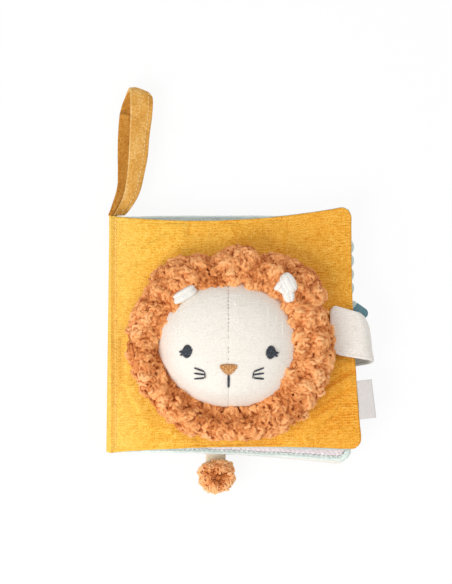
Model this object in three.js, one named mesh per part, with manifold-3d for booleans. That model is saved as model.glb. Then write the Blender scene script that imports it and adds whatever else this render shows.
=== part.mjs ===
// Crinkle cloth book with a stuffed lion head on its front cover.
// The book lies closed on its back cover. X runs from the spine to the fore edge, Y towards the
// top edge and Z up. The origin is the middle of the flat underside. Millimetres and degrees.

import * as THREE from 'three'
import { mergeVertices } from 'three/addons/utils/BufferGeometryUtils.js'
import Module from 'manifold-3d'

const wasm = await Module()
wasm.setup()

// Driving dimensions

const clearance = 0.3 // between pieces that touch
const cloth = 0.8 // a sewn layer of cloth
const film = 0.4 // the crinkle film
const cut = 60 // how far cutting solids run past what they cut

const pageWidth = 155 // spine edge to fore edge
const pageHeight = 152 // lower edge to top edge
const panelThickness = 8 // one padded panel at its crown
const seamThickness = 3.6 // the same panel at its sewn edge
const restCut = 0.5 // how far the weight of the book flattens its underside
const cornerRadius = 8

// How far each panel's corners reach past the nominal page, and how far its sides are drawn in
const frontShape = {
  topSpine: -1.2, topFore: 5.5, bottomFore: 1.2, bottomSpine: 3.1, foreTop: 1.5, foreBottom: 8.6,
  drawTop: 6, drawFore: 2.2, drawBottom: 2.7,
}
const leafShape = {
  topSpine: -1.6, topFore: -1.8, bottomFore: 10, bottomSpine: 3.4, foreTop: -1, foreBottom: 2,
  drawTop: -1, drawFore: 1.4, drawBottom: 1.6,
}
const backShape = {
  topSpine: -2, topFore: -3, bottomFore: 12.6, bottomSpine: 3.9, foreTop: -1, foreBottom: 0,
  drawTop: 1, drawFore: 1.2, drawBottom: 2.6,
}
const leafSeamInset = 3.4 // the pink side is sewn on this far inside the leaf's edge
const leafLip = 1.6 // how far the velour side wraps up over the middle of the edge

const spineLapTop = 3.3 // the spine cloth's lap on the front cover
const spineLapBottom = 1
const spineBulgeTop = 0.3
const spineBulgeBottom = 2.4

const loopLength = 83.5
const loopWidth = 15
const loopDrift = 16.2 // how far the loop leans towards the fore edge
const loopRise = 12.6 // height of the upper strand over the lower one
const loopThickness = 1.6
const loopBaseInset = 3.6 // from the spine edge to the loop's near side
const loopBaseX = loopBaseInset - pageWidth / 2

const strapWidth = 32
const strapThickness = 1.6
const strapBulgeTop = 8 // how far its upper edge stands out past the back cover
const strapBulgeBottom = 15.8
const strapEndX = 64.6 // its free end, beside the mane
const strapEndY = 1.4
const strapSkewAngle = 13
const patchThickness = 1
const patchLength = 12
const patchWidth = 22

const tagLength = 9.8
const tagWidth = 25
const tagThickness = 0.5
const tagFoldGap = 0.5
const tagMiddleY = -44.6
const tagAngle = 6.8

const tabWidth = 7.2
const tabReach = 13
const tabThickness = 1.6
const tabMiddleY = 19.2
const tabAngle = -35

const trimRadius = 4.5
const trimReach = 4
const trimThickness = 1.2
const trimCount = 4
const trimTopY = 54.8

const headHeight = 32 // crown of the face over the front cover
const headBackThickness = 1
const headBackInset = 7 // the closing cloth stops this far inside the mane's outline
const headX = -0.4
const headY = -6.8
const maneHalfWidth = 67.6
const maneHalfHeight = 63.8
const maneHeight = 19.5
const maneLump = 1 // height of the tufts that show in the solid
const faceX = -1.6
const faceY = -8.4
const faceHalfWidth = 50 // at the foot of the face, under the mane
const faceHalfHeight = 45
const faceSeamGap = 0.4

const earLeft = { x: -27.6, y: 24, halfLength: 8.4, halfWidth: 5.6, halfHeight: 4.6, angle: 24 }
const earRight = { x: 35, y: 27.4, halfLength: 8.8, halfWidth: 6.4, halfHeight: 5, angle: 112 }
const earLift = 17.6 // middle of the ears over the mane's foot

const threadThickness = 0.6
const eyeHalfWidth = 3
const eyeHalfHeight = 4.3
const eyeSpread = 26.2 // middle of the face to the middle of an eye
const eyeY = -13.4
const lashLength = 2.4
const lashWidth = 0.8
const lashDropAngles = [4, 28]
const noseHalfWidth = 5.4
const noseHeight = 7.4
const noseY = -24.6
const mouthLength = 7.6
const mouthWidth = 1.3
const whiskerWidth = 0.9
const whiskerInnerX = 15.4
const whiskerOuterX = 21.8
const whiskerInnerYs = [-26, -28.1, -30.3]
const whiskerOuterYs = [-23.8, -27.3, -30.9]

const tapeWidth = 13.2
const tapeThickness = 1.2
const tapeX = -9.4
const pomX = -8.8
const pomDrop = 18 // middle of the pom below the page
const pomY = -pageHeight / 2 - pomDrop
const pomRadius = 11.2
const pomLump = 0.7

// Levels that follow from the thicknesses

const crown = panelThickness / 2
const rim = seamThickness / 2
const halfWidth = pageWidth / 2
const halfHeight = pageHeight / 2
const backMiddle = crown - restCut
const leafMiddle = backMiddle + panelThickness + clearance
const frontMiddle = leafMiddle + panelThickness + clearance
const frontTop = frontMiddle + crown
const headFoot = frontTop + clearance + headBackThickness + clearance
const faceHeight = headHeight - clearance - headBackThickness - clearance

// Solids from grids of points

function closedMesh(positions, indices) {
  const geometry = new THREE.BufferGeometry()
  geometry.setAttribute('position', new THREE.Float32BufferAttribute(positions, 3))
  geometry.setIndex(indices)
  geometry.computeVertexNormals()
  return geometry
}

// Level rings of one outline, from a point at the top, out and round to a point underneath.
// Each profile entry is [share of the outline, height], and bump raises single points.
function ringSolid(outline, profile, bump = () => 0) {
  const count = outline.length
  const middle = middleOf(outline)
  const positions = []
  const indices = []
  const rings = profile.length - 2
  const addPoint = (x, y, z) => positions.push(x, y, z)
  addPoint(middle.x, middle.y, profile[0][1])
  for (const [share, height] of profile.slice(1, -1)) {
    outline.forEach((point, i) => {
      const x = middle.x + (point.x - middle.x) * share
      const y = middle.y + (point.y - middle.y) * share
      addPoint(x, y, height + bump(share, i / count, height))
    })
  }
  addPoint(middle.x, middle.y, profile.at(-1)[1])
  const at = (ring, i) => 1 + ring * count + (i % count)
  const bottom = 1 + rings * count
  for (let i = 0; i < count; i++) {
    indices.push(0, at(0, i), at(0, i + 1))
    for (let ring = 0; ring < rings - 1; ring++) {
      indices.push(at(ring, i), at(ring + 1, i), at(ring + 1, i + 1))
      indices.push(at(ring, i), at(ring + 1, i + 1), at(ring, i + 1))
    }
    indices.push(at(rings - 1, i), bottom, at(rings - 1, i + 1))
  }
  return closedMesh(positions, indices)
}

// A sheet of some thickness: a grid of points on each face and a wall all round.
// pointAt takes two shares from 0 to 1 and a side, 1 for the upper face and -1 for the other.
function sheetSolid(rows, columns, pointAt) {
  const positions = []
  const indices = []
  for (const side of [1, -1]) {
    for (let i = 0; i <= rows; i++) {
      for (let j = 0; j <= columns; j++) positions.push(...pointAt(i / rows, j / columns, side).toArray())
    }
  }
  const face = (rows + 1) * (columns + 1)
  const at = (side, i, j) => (side > 0 ? 0 : face) + i * (columns + 1) + j
  const quad = (a, b, c, d) => indices.push(a, b, c, a, c, d)
  for (let i = 0; i < rows; i++) {
    for (let j = 0; j < columns; j++) {
      quad(at(1, i, j), at(1, i + 1, j), at(1, i + 1, j + 1), at(1, i, j + 1))
      quad(at(-1, i, j), at(-1, i, j + 1), at(-1, i + 1, j + 1), at(-1, i + 1, j))
    }
    quad(at(1, i, 0), at(-1, i, 0), at(-1, i + 1, 0), at(1, i + 1, 0))
    quad(at(1, i + 1, columns), at(-1, i + 1, columns), at(-1, i, columns), at(1, i, columns))
  }
  for (let j = 0; j < columns; j++) {
    quad(at(1, 0, j + 1), at(-1, 0, j + 1), at(-1, 0, j), at(1, 0, j))
    quad(at(1, rows, j), at(-1, rows, j), at(-1, rows, j + 1), at(1, rows, j + 1))
  }
  return closedMesh(positions, indices)
}

// Joining and cutting

function solidOf(geometry) {
  const bare = geometry.clone()
  bare.deleteAttribute('normal')
  bare.deleteAttribute('uv')
  const merged = mergeVertices(bare)
  return new wasm.Manifold(new wasm.Mesh({
    numProp: 3,
    vertProperties: new Float32Array(merged.attributes.position.array),
    triVerts: new Uint32Array(merged.index.array),
  }))
}

function geometryOf(solid) {
  const { vertProperties, triVerts } = solid.getMesh()
  return closedMesh(Array.from(vertProperties), Array.from(triVerts))
}

function boxSolid(low, high) {
  const size = new THREE.Vector3().subVectors(high, low)
  const middle = new THREE.Vector3().addVectors(low, high).multiplyScalar(1 / 2)
  return solidOf(new THREE.BoxGeometry(...size.toArray()).translate(...middle.toArray()))
}

function prismSolid(points, low, high) {
  const shape = new THREE.Shape(points)
  const options = { depth: high - low, bevelEnabled: false }
  return solidOf(new THREE.ExtrudeGeometry(shape, options).translate(0, 0, low))
}

// Outlines

const point = (x, y) => new THREE.Vector2(x, y)

function boxOf(outline) {
  return new THREE.Box2().setFromPoints(outline)
}

function middleOf(outline) {
  return boxOf(outline).getCenter(new THREE.Vector2())
}

function insetOutline(outline, distance) {
  const middle = middleOf(outline)
  const half = boxOf(outline).getSize(new THREE.Vector2()).multiplyScalar(1 / 2)
  const scale = point(1 - distance / half.x, 1 - distance / half.y)
  return outline.map((p) => p.clone().sub(middle).multiply(scale).add(middle))
}

const sideSteps = 4

// Four corners, rounded, with each side drawn in between them
function panelOutline(shape) {
  const corners = [
    point(-halfWidth, -halfHeight - shape.bottomSpine),
    point(halfWidth + shape.foreBottom, -halfHeight - shape.bottomFore),
    point(halfWidth + shape.foreTop, halfHeight + shape.topFore),
    point(-halfWidth, halfHeight + shape.topSpine),
  ]
  const draws = [shape.drawBottom, shape.drawFore, shape.drawTop, 0]
  const sides = corners.map((from, i) => {
    const to = corners[(i + 1) % corners.length]
    const length = from.distanceTo(to)
    const along = to.clone().sub(from).normalize()
    const inward = point(-along.y, along.x)
    const points = []
    for (let step = 0; step <= sideSteps; step++) {
      const run = cornerRadius + (length - cornerRadius * 2) * step / sideSteps
      const share = run / length
      const drawn = draws[i] * 4 * share * (1 - share)
      points.push(from.clone().addScaledVector(along, run).addScaledVector(inward, drawn))
    }
    return points
  })
  return sides.flatMap((side, i) => {
    const next = (i + 1) % sides.length
    const corner = corners[next].clone().multiplyScalar(2)
    const round = corner.add(side.at(-1)).add(sides[next][0]).multiplyScalar(1 / 4)
    return [...side, round]
  })
}

function ovalOutline(x, y, acrossHalf, alongHalf, count, radiusShare = () => 1) {
  const points = []
  for (let i = 0; i < count; i++) {
    const angle = Math.PI * 2 * i / count
    const share = radiusShare(i / count)
    points.push(point(x + acrossHalf * share * Math.cos(angle), y + alongHalf * share * Math.sin(angle)))
  }
  return points
}

// Where the fore edge of a panel lies at a height y
function foreEdgeAt(shape, y) {
  const share = (y + halfHeight) / pageHeight
  const straight = halfWidth + shape.foreBottom + (shape.foreTop - shape.foreBottom) * share
  return straight - shape.drawFore * 4 * share * (1 - share)
}

// Where the lower edge of a panel lies at a place x
function lowerEdgeAt(shape, x) {
  const share = (x + halfWidth) / pageWidth
  const straight = -halfHeight - shape.bottomSpine + (shape.bottomSpine - shape.bottomFore) * share
  return straight + shape.drawBottom * 4 * share * (1 - share)
}

// Padded panels

const crownShares = [0.5, 0.78, 0.93, 1]
const crownPower = 4

// Height of a panel's face over its middle plane, at a share of the way to the edge
function faceHeightAt(share, flat = crown) {
  return Math.min(rim + (crown - rim) * Math.sqrt(1 - share ** crownPower), flat)
}

// One cloth side of a panel: a shallow dish. Its side is 1 for the upper and -1 for the under one
function clothDish({ outline, middle, side, flat = crown, lip = false }) {
  const half = boxOf(outline).getSize(new THREE.Vector2()).multiplyScalar(1 / 2)
  const innerShare = 1 - cloth / Math.min(half.x, half.y)
  const lipShare = 1 - (leafSeamInset - clearance) / Math.min(half.x, half.y)
  const seam = clearance / 2
  const shares = [0, ...crownShares]
  const outer = shares.map((share) => [share, faceHeightAt(share, flat)])
  const inner = shares.map((share) => [share * innerShare, faceHeightAt(share, flat) - cloth]).reverse()
  const edge = lip
    ? [[1, -leafLip], [lipShare, -leafLip - cloth / 2], [lipShare, cloth / 2 - leafLip], [innerShare, cloth - leafLip]]
    : [[1, seam], [innerShare, seam]]
  const profile = [...outer, ...edge, ...inner].map(([share, height]) => [share, middle + side * height])
  return ringSolid(outline, side > 0 ? profile : profile.reverse())
}

// A filling layer between two depths under the panel's cloth faces
function fillingPad({ outline, middle, inset, upper, lower }) {
  const shares = [0, ...crownShares]
  const top = shares.map((share) => [share, middle + upper(share)])
  const under = shares.map((share) => [share, middle + lower(share)]).reverse()
  return ringSolid(insetOutline(outline, inset), [...top, ...under])
}

const underCloth = cloth + clearance

// Wadding and film inside a panel. The film lies on the side that filmSide gives
function panelFillings(outline, middle, filmSide, inset, flat = crown) {
  const filmOuter = (share) => filmSide * (faceHeightAt(share) - underCloth)
  const filmInner = (share) => filmSide * (faceHeightAt(share) - underCloth - film)
  const wadNear = (share) => filmSide * (faceHeightAt(share) - underCloth - film - clearance)
  const wadFar = (share) => -filmSide * (faceHeightAt(share, flat) - underCloth)
  const [filmUpper, filmLower] = filmSide > 0 ? [filmOuter, filmInner] : [filmInner, filmOuter]
  const [wadUpper, wadLower] = filmSide > 0 ? [wadNear, wadFar] : [wadFar, wadNear]
  return {
    film: fillingPad({ outline, middle, inset, upper: filmUpper, lower: filmLower }),
    wadding: fillingPad({ outline, middle, inset, upper: wadUpper, lower: wadLower }),
  }
}

const frontOutline = panelOutline(frontShape)
const leafOutline = panelOutline(leafShape)
const backOutline = panelOutline(backShape)

function backCover() {
  const flat = crown - restCut
  const inside = panelFillings(backOutline, backMiddle, 1, underCloth, flat)
  return {
    back_cover_outer: clothDish({ outline: backOutline, middle: backMiddle, side: -1, flat }),
    back_cover_wadding: inside.wadding,
    back_cover_film: inside.film,
    back_cover_lining: clothDish({ outline: backOutline, middle: backMiddle, side: 1 }),
  }
}

function leaf() {
  const pinkOutline = insetOutline(leafOutline, leafSeamInset)
  const inside = panelFillings(leafOutline, leafMiddle, -1, leafSeamInset + underCloth)
  return {
    leaf_front: clothDish({ outline: pinkOutline, middle: leafMiddle, side: 1 }),
    leaf_wadding: inside.wadding,
    leaf_film: inside.film,
    leaf_back: clothDish({ outline: leafOutline, middle: leafMiddle, side: -1, lip: true }),
  }
}

function frontCover() {
  const inside = panelFillings(frontOutline, frontMiddle, -1, underCloth)
  return {
    front_cover_outer: clothDish({ outline: frontOutline, middle: frontMiddle, side: 1 }),
    front_cover_wadding: inside.wadding,
    front_cover_film: inside.film,
    front_cover_lining: clothDish({ outline: frontOutline, middle: frontMiddle, side: -1 }),
  }
}

// A curve in the XZ plane through points of x and height
function sideCurve(places) {
  return new THREE.CatmullRomCurve3(places.map(([x, z]) => new THREE.Vector3(x, 0, z)))
}

// A point beside a curve in the XZ plane, off it by a distance to its left
function besideCurve(curve, share, distance) {
  const along = curve.getTangentAt(share)
  return curve.getPointAt(share).add(new THREE.Vector3(-along.z, 0, along.x).multiplyScalar(distance))
}

// Front cover's upper face, a distance in from the spine or fore edge
const frontTopAt = (inward) => frontMiddle + faceHeightAt(1 - inward / halfWidth)

function spineCover() {
  const off = clearance + cloth / 2
  const edge = -halfWidth
  const underAt = backMiddle - faceHeightAt(1 - spineLapBottom / halfWidth)
  const curveFor = (bulge) => sideCurve([
    [edge + spineLapBottom, underAt - off],
    [edge - off / 2, backMiddle - rim - off / 2],
    [edge - off, backMiddle],
    [edge - off - bulge, leafMiddle],
    [edge - off, frontMiddle],
    [edge - off / 2, frontMiddle + rim + off],
    [edge + spineLapTop / 2, frontTopAt(spineLapTop / 2) + off],
    [edge + spineLapTop, frontTopAt(spineLapTop) + off],
  ])
  const lowY = -halfHeight - frontShape.bottomSpine
  const highY = halfHeight + frontShape.topSpine
  return sheetSolid(16, 4, (i, j, side) => {
    const bulge = spineBulgeBottom + (spineBulgeTop - spineBulgeBottom) * j
    const at = besideCurve(curveFor(bulge), i, side * cloth / 2)
    at.y = lowY + (highY - lowY) * j
    return at
  })
}

// The loop's middle line, as shares of its length, drift and rise, and its width share there
const loopShares = [
  [0, -0.08, 0.62, 0.5], [0.07, 0.08, 0.5, 0.56], [0.22, 0.42, 0.16, 0.78], [0.36, 0.5, 0.02, 0.92],
  [0.52, 0.52, 0, 0.97], [0.7, 0.56, 0, 1], [0.84, 0.65, 0, 1], [0.95, 0.82, 0.12, 1],
  [1, 0.95, 0.5, 1], [0.965, 1, 0.88, 1], [0.84, 1, 1, 0.97], [0.68, 0.97, 1, 0.94],
  [0.44, 0.88, 0.98, 0.86], [0.28, 0.75, 0.96, 0.78], [0.15, 0.57, 0.94, 0.68], [0.06, 0.3, 0.92, 0.56],
  [0, 0.1, 0.9, 0.5],
]

function hangingLoop() {
  const baseY = halfHeight + frontShape.topSpine + clearance * 2
  const low = loopThickness / 2 + clearance / 2
  const middle = new THREE.CatmullRomCurve3(loopShares.map(([along, across, up]) => new THREE.Vector3(
    loopBaseX + loopDrift * across, baseY + loopLength * along, low + loopRise * up)))
  const widths = new THREE.CatmullRomCurve3(loopShares.map(([, , , share]) => new THREE.Vector3(share, 0, 0)))
  return sheetSolid(40, 2, (i, j, side) => {
    const across = new THREE.Vector3(1, 0, 0)
    const normal = middle.getTangent(i).cross(across).normalize()
    const half = loopWidth / 2 * widths.getPoint(i).x
    return middle.getPoint(i)
      .addScaledVector(across, half * (2 * j - 1))
      .addScaledVector(normal, side * loopThickness / 2)
  })
}

// Closure strap: a curve from the back cover's fore edge, out, up and back over the front cover
const strapStack = clearance * 3 + patchThickness * 2 + strapThickness / 2
const strapCurveShares = [[0, 0], [0.42, -0.03], [0.82, 0.14], [1, 0.44], [0.9, 0.76], [0.56, 0.95]]

function strapCurve(widthShare) {
  const bulge = strapBulgeBottom + (strapBulgeTop - strapBulgeBottom) * widthShare
  const seamX = foreEdgeAt(backShape, strapEndY - strapWidth) + clearance
  const endInward = foreEdgeAt(frontShape, strapEndY) - strapEndX
  const landing = frontTopAt(endInward / 4) + strapStack
  const places = strapCurveShares.map(([out, up]) => [
    seamX + bulge * out, backMiddle + (landing - backMiddle) * up,
  ])
  const landingX = strapEndX + endInward * 3 / 4
  const middleX = strapEndX + endInward * 2 / 5
  places.push([landingX, landing])
  places.push([middleX, frontTopAt(endInward * 3 / 5) + strapStack])
  places.push([strapEndX, frontTopAt(endInward) + strapStack])
  return sideCurve(places)
}

// A sheet laid along the strap's curve between two shares of it, off it by a distance
function onStrap(rows, from, to, width, thickness, offset, shiftY = 0) {
  const columns = 4
  const curves = []
  for (let k = 0; k <= columns; k++) curves.push(strapCurve(1 / 2 + (k / columns - 1 / 2) * width / strapWidth))
  const slope = Math.tan(THREE.MathUtils.degToRad(strapSkewAngle))
  return sheetSolid(rows, columns, (i, j, side) => {
    const curve = curves[Math.round(j * columns)]
    const length = curve.getLength()
    const share = from + (to - from) * i
    const at = besideCurve(curve, share, side * thickness / 2 + offset)
    at.y = strapEndY + shiftY - length * (1 - share) * slope + width * (j - 1 / 2)
    return at
  })
}

function closureStrap() {
  return onStrap(28, 0, 1, strapWidth, strapThickness, 0)
}

const patchDrop = (layers) => (strapThickness + patchThickness) / 2 + clearance + layers * (patchThickness + clearance)

function strapPatch(layers) {
  const length = strapCurve(1 / 2).getLength()
  const end = 1 - clearance * 2 / length
  return onStrap(4, end - patchLength / length, end, patchWidth, patchThickness, patchDrop(layers))
}

// Pieces in the panels' seams

function sideTag() {
  const folded = tagFoldGap + tagThickness * 2
  const outline = [
    point(0, -folded / 2), point(tagLength, -folded / 2), point(tagLength, folded / 2), point(0, folded / 2),
    point(0, tagFoldGap / 2), point(tagLength - tagThickness, tagFoldGap / 2),
    point(tagLength - tagThickness, -tagFoldGap / 2), point(0, -tagFoldGap / 2),
  ]
  const geometry = new THREE.ExtrudeGeometry(new THREE.Shape(outline), { depth: tagWidth, bevelEnabled: false })
  return geometry.translate(0, 0, -tagWidth / 2).rotateX(Math.PI / 2)
}

// A slip of cloth with a round end, pointing along X from a square end at the origin
function ribbonTab() {
  const shape = new THREE.Shape()
  shape.moveTo(0, -tabWidth / 2)
  shape.lineTo(tabReach - tabWidth / 2, -tabWidth / 2)
  shape.absarc(tabReach - tabWidth / 2, 0, tabWidth / 2, -Math.PI / 2, Math.PI / 2)
  shape.lineTo(0, tabWidth / 2)
  const options = { depth: tabThickness, bevelEnabled: false, curveSegments: 6 }
  return new THREE.ExtrudeGeometry(shape, options).translate(0, 0, -tabThickness / 2)
}

function scallopedTrim() {
  const pitch = trimRadius * 2
  const steps = 6
  const edge = [point(0, trimTopY + trimRadius)]
  for (let k = 0; k < trimCount; k++) {
    const middleY = trimTopY - pitch * k
    for (let step = 0; step <= steps; step++) {
      const angle = Math.PI * (1 / 2 - step / steps)
      const y = middleY + trimRadius * Math.sin(angle)
      edge.push(point(trimReach * (1 + 2 * Math.cos(angle)) / 3, y))
    }
  }
  edge.push(point(0, trimTopY - pitch * (trimCount - 1) - trimRadius))
  const line = edge.reverse().map((p) => point(p.x + foreEdgeAt(leafShape, p.y) + clearance, p.y))
  const options = { depth: trimThickness, bevelEnabled: false }
  return new THREE.ExtrudeGeometry(new THREE.Shape(line), options).translate(0, 0, -trimThickness / 2)
}

// Lion head

// Radius shares of the mane's outline, every 15 degrees from the fore edge side, anticlockwise
const maneRadiusShares = [
  0.96, 0.95, 0.99, 0.98, 0.98, 1.0, 0.93, 1.0, 0.94, 0.97, 0.94, 0.97,
  1.02, 1.02, 1.02, 0.99, 1.0, 1.02, 1.0, 1.0, 1.02, 1.0, 0.99, 1.01,
]
const maneProfileShares = [
  [0, 0.5], [0.5, 0.66], [0.64, 0.9], [0.78, 1], [0.9, 0.88], [0.98, 0.62], [1, 0.38], [0.96, 0.14], [0.91, 0], [0, 0],
]
const maneTufts = [23, 4]
const manePoints = 48

function maneBlob(grow) {
  const radius = (turn) => {
    const place = turn * maneRadiusShares.length
    const index = Math.floor(place)
    const next = (index + 1) % maneRadiusShares.length
    return maneRadiusShares[index] + (maneRadiusShares[next] - maneRadiusShares[index]) * (place - index)
  }
  const outline = ovalOutline(headX, headY, maneHalfWidth + grow, maneHalfHeight + grow, manePoints, radius)
  const profile = maneProfileShares.map(([share, up]) => [share, headFoot + maneHeight * up + (up > 0 ? grow : -grow)])
  const tuft = (share, turn) => maneLump * Math.sin(Math.PI * 2 * turn * maneTufts[0]) * Math.cos(Math.PI * 2 * share * maneTufts[1])
  return solidOf(ringSolid(outline, profile, (share, turn, height) => (height > headFoot + grow ? tuft(share, turn) : 0)))
}

const faceShares = [0.3, 0.52, 0.7, 0.84, 0.93, 1]
const facePower = 2.4
const facePoints = 36

// The stuffed dome of the face, bigger all round by grow, running down past the foot of the head
function faceDome(grow) {
  const outline = ovalOutline(faceX, faceY, faceHalfWidth + grow, faceHalfHeight + grow, facePoints)
  const top = (share) => headFoot + grow + faceHeight * Math.sqrt(1 - share ** facePower)
  const rings = [0, ...faceShares].map((share) => [share, top(share)])
  return solidOf(ringSolid(outline, [...rings, [1, headFoot - cut], [0, headFoot - cut]]))
}

// The part of a solid that stands over the foot of the head
function overFoot(solid) {
  const low = new THREE.Vector3(faceX - cut * 2, faceY - cut * 2, headFoot)
  const high = new THREE.Vector3(faceX + cut * 2, faceY + cut * 2, headFoot + cut * 2)
  return solid.intersect(boxSolid(low, high))
}

function faceHalf(side) {
  const shell = overFoot(faceDome(0).subtract(faceDome(-cloth)))
  const near = faceX + side * faceSeamGap / 2
  const far = faceX + side * cut * 2
  const low = new THREE.Vector3(Math.min(near, far), faceY - cut * 2, 0)
  const high = new THREE.Vector3(Math.max(near, far), faceY + cut * 2, frontTop + cut * 2)
  return geometryOf(shell.intersect(boxSolid(low, high)))
}

function headStuffing() {
  return geometryOf(overFoot(faceDome(-underCloth)))
}

function mane() {
  return geometryOf(maneBlob(0).subtract(faceDome(clearance)))
}

function headBack() {
  const outline = ovalOutline(headX, headY, maneHalfWidth - headBackInset, maneHalfHeight - headBackInset, manePoints / 2)
  const foot = frontTop + clearance
  return ringSolid(outline, [[0, foot + headBackThickness], [1, foot + headBackThickness], [1, foot], [0, foot]])
}

function ear({ x, y, halfLength, halfWidth, halfHeight: halfRise, angle }) {
  const ball = new THREE.SphereGeometry(1, 12, 8)
  ball.scale(halfLength, halfWidth, halfRise)
  ball.rotateZ(THREE.MathUtils.degToRad(angle))
  ball.translate(x, y, headFoot + earLift)
  return geometryOf(solidOf(ball).subtract(maneBlob(clearance)).subtract(faceDome(clearance)))
}

// Embroidery: a thin layer over the face, cut out by an upright prism
function stitched(points) {
  const layer = faceDome(clearance + threadThickness).subtract(faceDome(clearance))
  return geometryOf(layer.intersect(prismSolid(points, headFoot + clearance, headFoot + cut)))
}

function barOutline(from, to, width) {
  const along = to.clone().sub(from).normalize()
  const across = point(-along.y, along.x).multiplyScalar(width / 2)
  return [from.clone().sub(across), to.clone().sub(across), to.clone().add(across), from.clone().add(across)]
}

function eye(side) {
  const middle = point(faceX + side * eyeSpread, eyeY)
  const low = headFoot + clearance
  const high = headFoot + cut
  let prism = prismSolid(ovalOutline(middle.x, middle.y, eyeHalfWidth, eyeHalfHeight, 14), low, high)
  for (const drop of lashDropAngles) {
    const angle = THREE.MathUtils.degToRad(drop)
    const reach = eyeHalfWidth + lashLength
    const tip = point(middle.x + side * reach * Math.cos(angle), middle.y - reach * Math.sin(angle))
    prism = prism.add(prismSolid(barOutline(middle, tip, lashWidth), low, high))
  }
  const layer = faceDome(clearance + threadThickness).subtract(faceDome(clearance))
  return geometryOf(layer.intersect(prism))
}

const noseShares = [[-0.62, 1], [-0.95, 0.82], [-1, 0.58], [-0.5, 0.16], [0, 0], [0.5, 0.16], [1, 0.58], [0.95, 0.82], [0.62, 1]]

function nose() {
  const low = noseY - noseHeight / 2
  return stitched(noseShares.map(([across, up]) => point(faceX + noseHalfWidth * across, low + noseHeight * up)).reverse())
}

function mouth() {
  const top = noseY - noseHeight / 2 - clearance
  return stitched(barOutline(point(faceX, top), point(faceX, top - mouthLength), mouthWidth))
}

function whisker(side, row) {
  const inner = point(faceX + side * whiskerInnerX, whiskerInnerYs[row])
  const outer = point(faceX + side * whiskerOuterX, whiskerOuterYs[row])
  return stitched(barOutline(inner, outer, whiskerWidth))
}

// Tail

const pomProfileShares = [[0, 1], [0.42, 0.91], [0.74, 0.67], [0.94, 0.34], [1, 0], [0.94, -0.34], [0.74, -0.67], [0.42, -0.91], [0, -1]]
const pomTufts = 7

function pomBall(grow) {
  const middle = pomRadius - restCut
  const radius = (turn) => 1 + pomLump / pomRadius * Math.sin(Math.PI * 2 * pomTufts * turn)
  const outline = ovalOutline(pomX, pomY, pomRadius + grow, pomRadius + grow, 28, radius)
  return ringSolid(outline, pomProfileShares.map(([share, up]) => [share, middle + (pomRadius + grow) * up]))
}

function tailPom() {
  const floor = boxSolid(new THREE.Vector3(-cut, pomY - cut, 0), new THREE.Vector3(cut, pomY + cut, cut))
  return geometryOf(solidOf(pomBall(0)).intersect(floor))
}

function tailTape() {
  const edges = [-1, 1].map((side) => lowerEdgeAt(backShape, tapeX + side * tapeWidth / 2))
  const start = Math.min(...edges) - clearance
  const low = new THREE.Vector3(tapeX - tapeWidth / 2, pomY, backMiddle - tapeThickness / 2)
  const high = new THREE.Vector3(tapeX + tapeWidth / 2, start, backMiddle + tapeThickness / 2)
  const strip = boxSolid(low, high)
  const beyond = boxSolid(new THREE.Vector3(-cut, pomY - cut, 0), new THREE.Vector3(cut, pomY, cut))
  return geometryOf(strip.subtract(solidOf(pomBall(clearance))).subtract(beyond))
}

// Colours and the scene

const muslin = { color: 0xedb03a, roughness: 0.95 }
const paleMint = { color: 0xdfeae3, roughness: 0.95 }
const velour = { color: 0xc5d6cb, roughness: 1 }
const pinkCloth = { color: 0xedd9da, roughness: 0.95 }
const cream = { color: 0xf3eee4, roughness: 0.95 }
const wadding = { color: 0xf6f5f2, roughness: 1 }
const filmPlastic = { color: 0xd9e2e6, roughness: 0.35 }
const sherpa = { color: 0xc97b45, roughness: 1 }
const linen = { color: 0xe4ded6, roughness: 0.95 }
const faceLinen = { color: 0xeee8e0, roughness: 0.95 }
const charcoal = { color: 0x2e3138, roughness: 0.7 }
const noseThread = { color: 0xb36f37, roughness: 0.7 }
const hookTape = { color: 0xe9e6df, roughness: 0.8 }
const teal = { color: 0x557d88, roughness: 0.95 }
const satin = { color: 0xddd8d6, roughness: 0.45 }
const twill = { color: 0xd9b58a, roughness: 0.9 }

const book = new THREE.Group()

function add(name, geometry, look, parent = book) {
  const mesh = new THREE.Mesh(geometry, new THREE.MeshStandardMaterial({ ...look, metalness: 0 }))
  mesh.name = name
  parent.add(mesh)
  return mesh
}

function addAll(geometries, looks) {
  Object.entries(geometries).forEach(([name, geometry], i) => add(name, geometry, looks[i]))
}

addAll(backCover(), [muslin, wadding, filmPlastic, cream])
addAll(leaf(), [pinkCloth, wadding, filmPlastic, velour])
addAll(frontCover(), [muslin, wadding, filmPlastic, paleMint])
add('spine_cover', spineCover(), muslin)
add('hanging_loop', hangingLoop(), muslin)
add('closure_strap', closureStrap(), linen)
add('hook_patch', strapPatch(0), hookTape)
add('loop_patch', strapPatch(1), hookTape)

const tag = add('side_tag', sideTag(), satin)
tag.position.set(foreEdgeAt(frontShape, tagMiddleY) + clearance * 2, tagMiddleY, frontMiddle)
tag.rotation.z = THREE.MathUtils.degToRad(tagAngle)

const tab = add('ribbon_tab', ribbonTab(), teal)
const tabTurn = THREE.MathUtils.degToRad(tabAngle)
const tabRoom = clearance - tabWidth / 2 * Math.sin(tabTurn)
tab.position.set(foreEdgeAt(leafShape, tabMiddleY) + tabRoom, tabMiddleY, leafMiddle)
tab.rotation.z = tabTurn

const trim = add('scalloped_trim', scallopedTrim(), velour)
trim.position.z = leafMiddle

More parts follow.
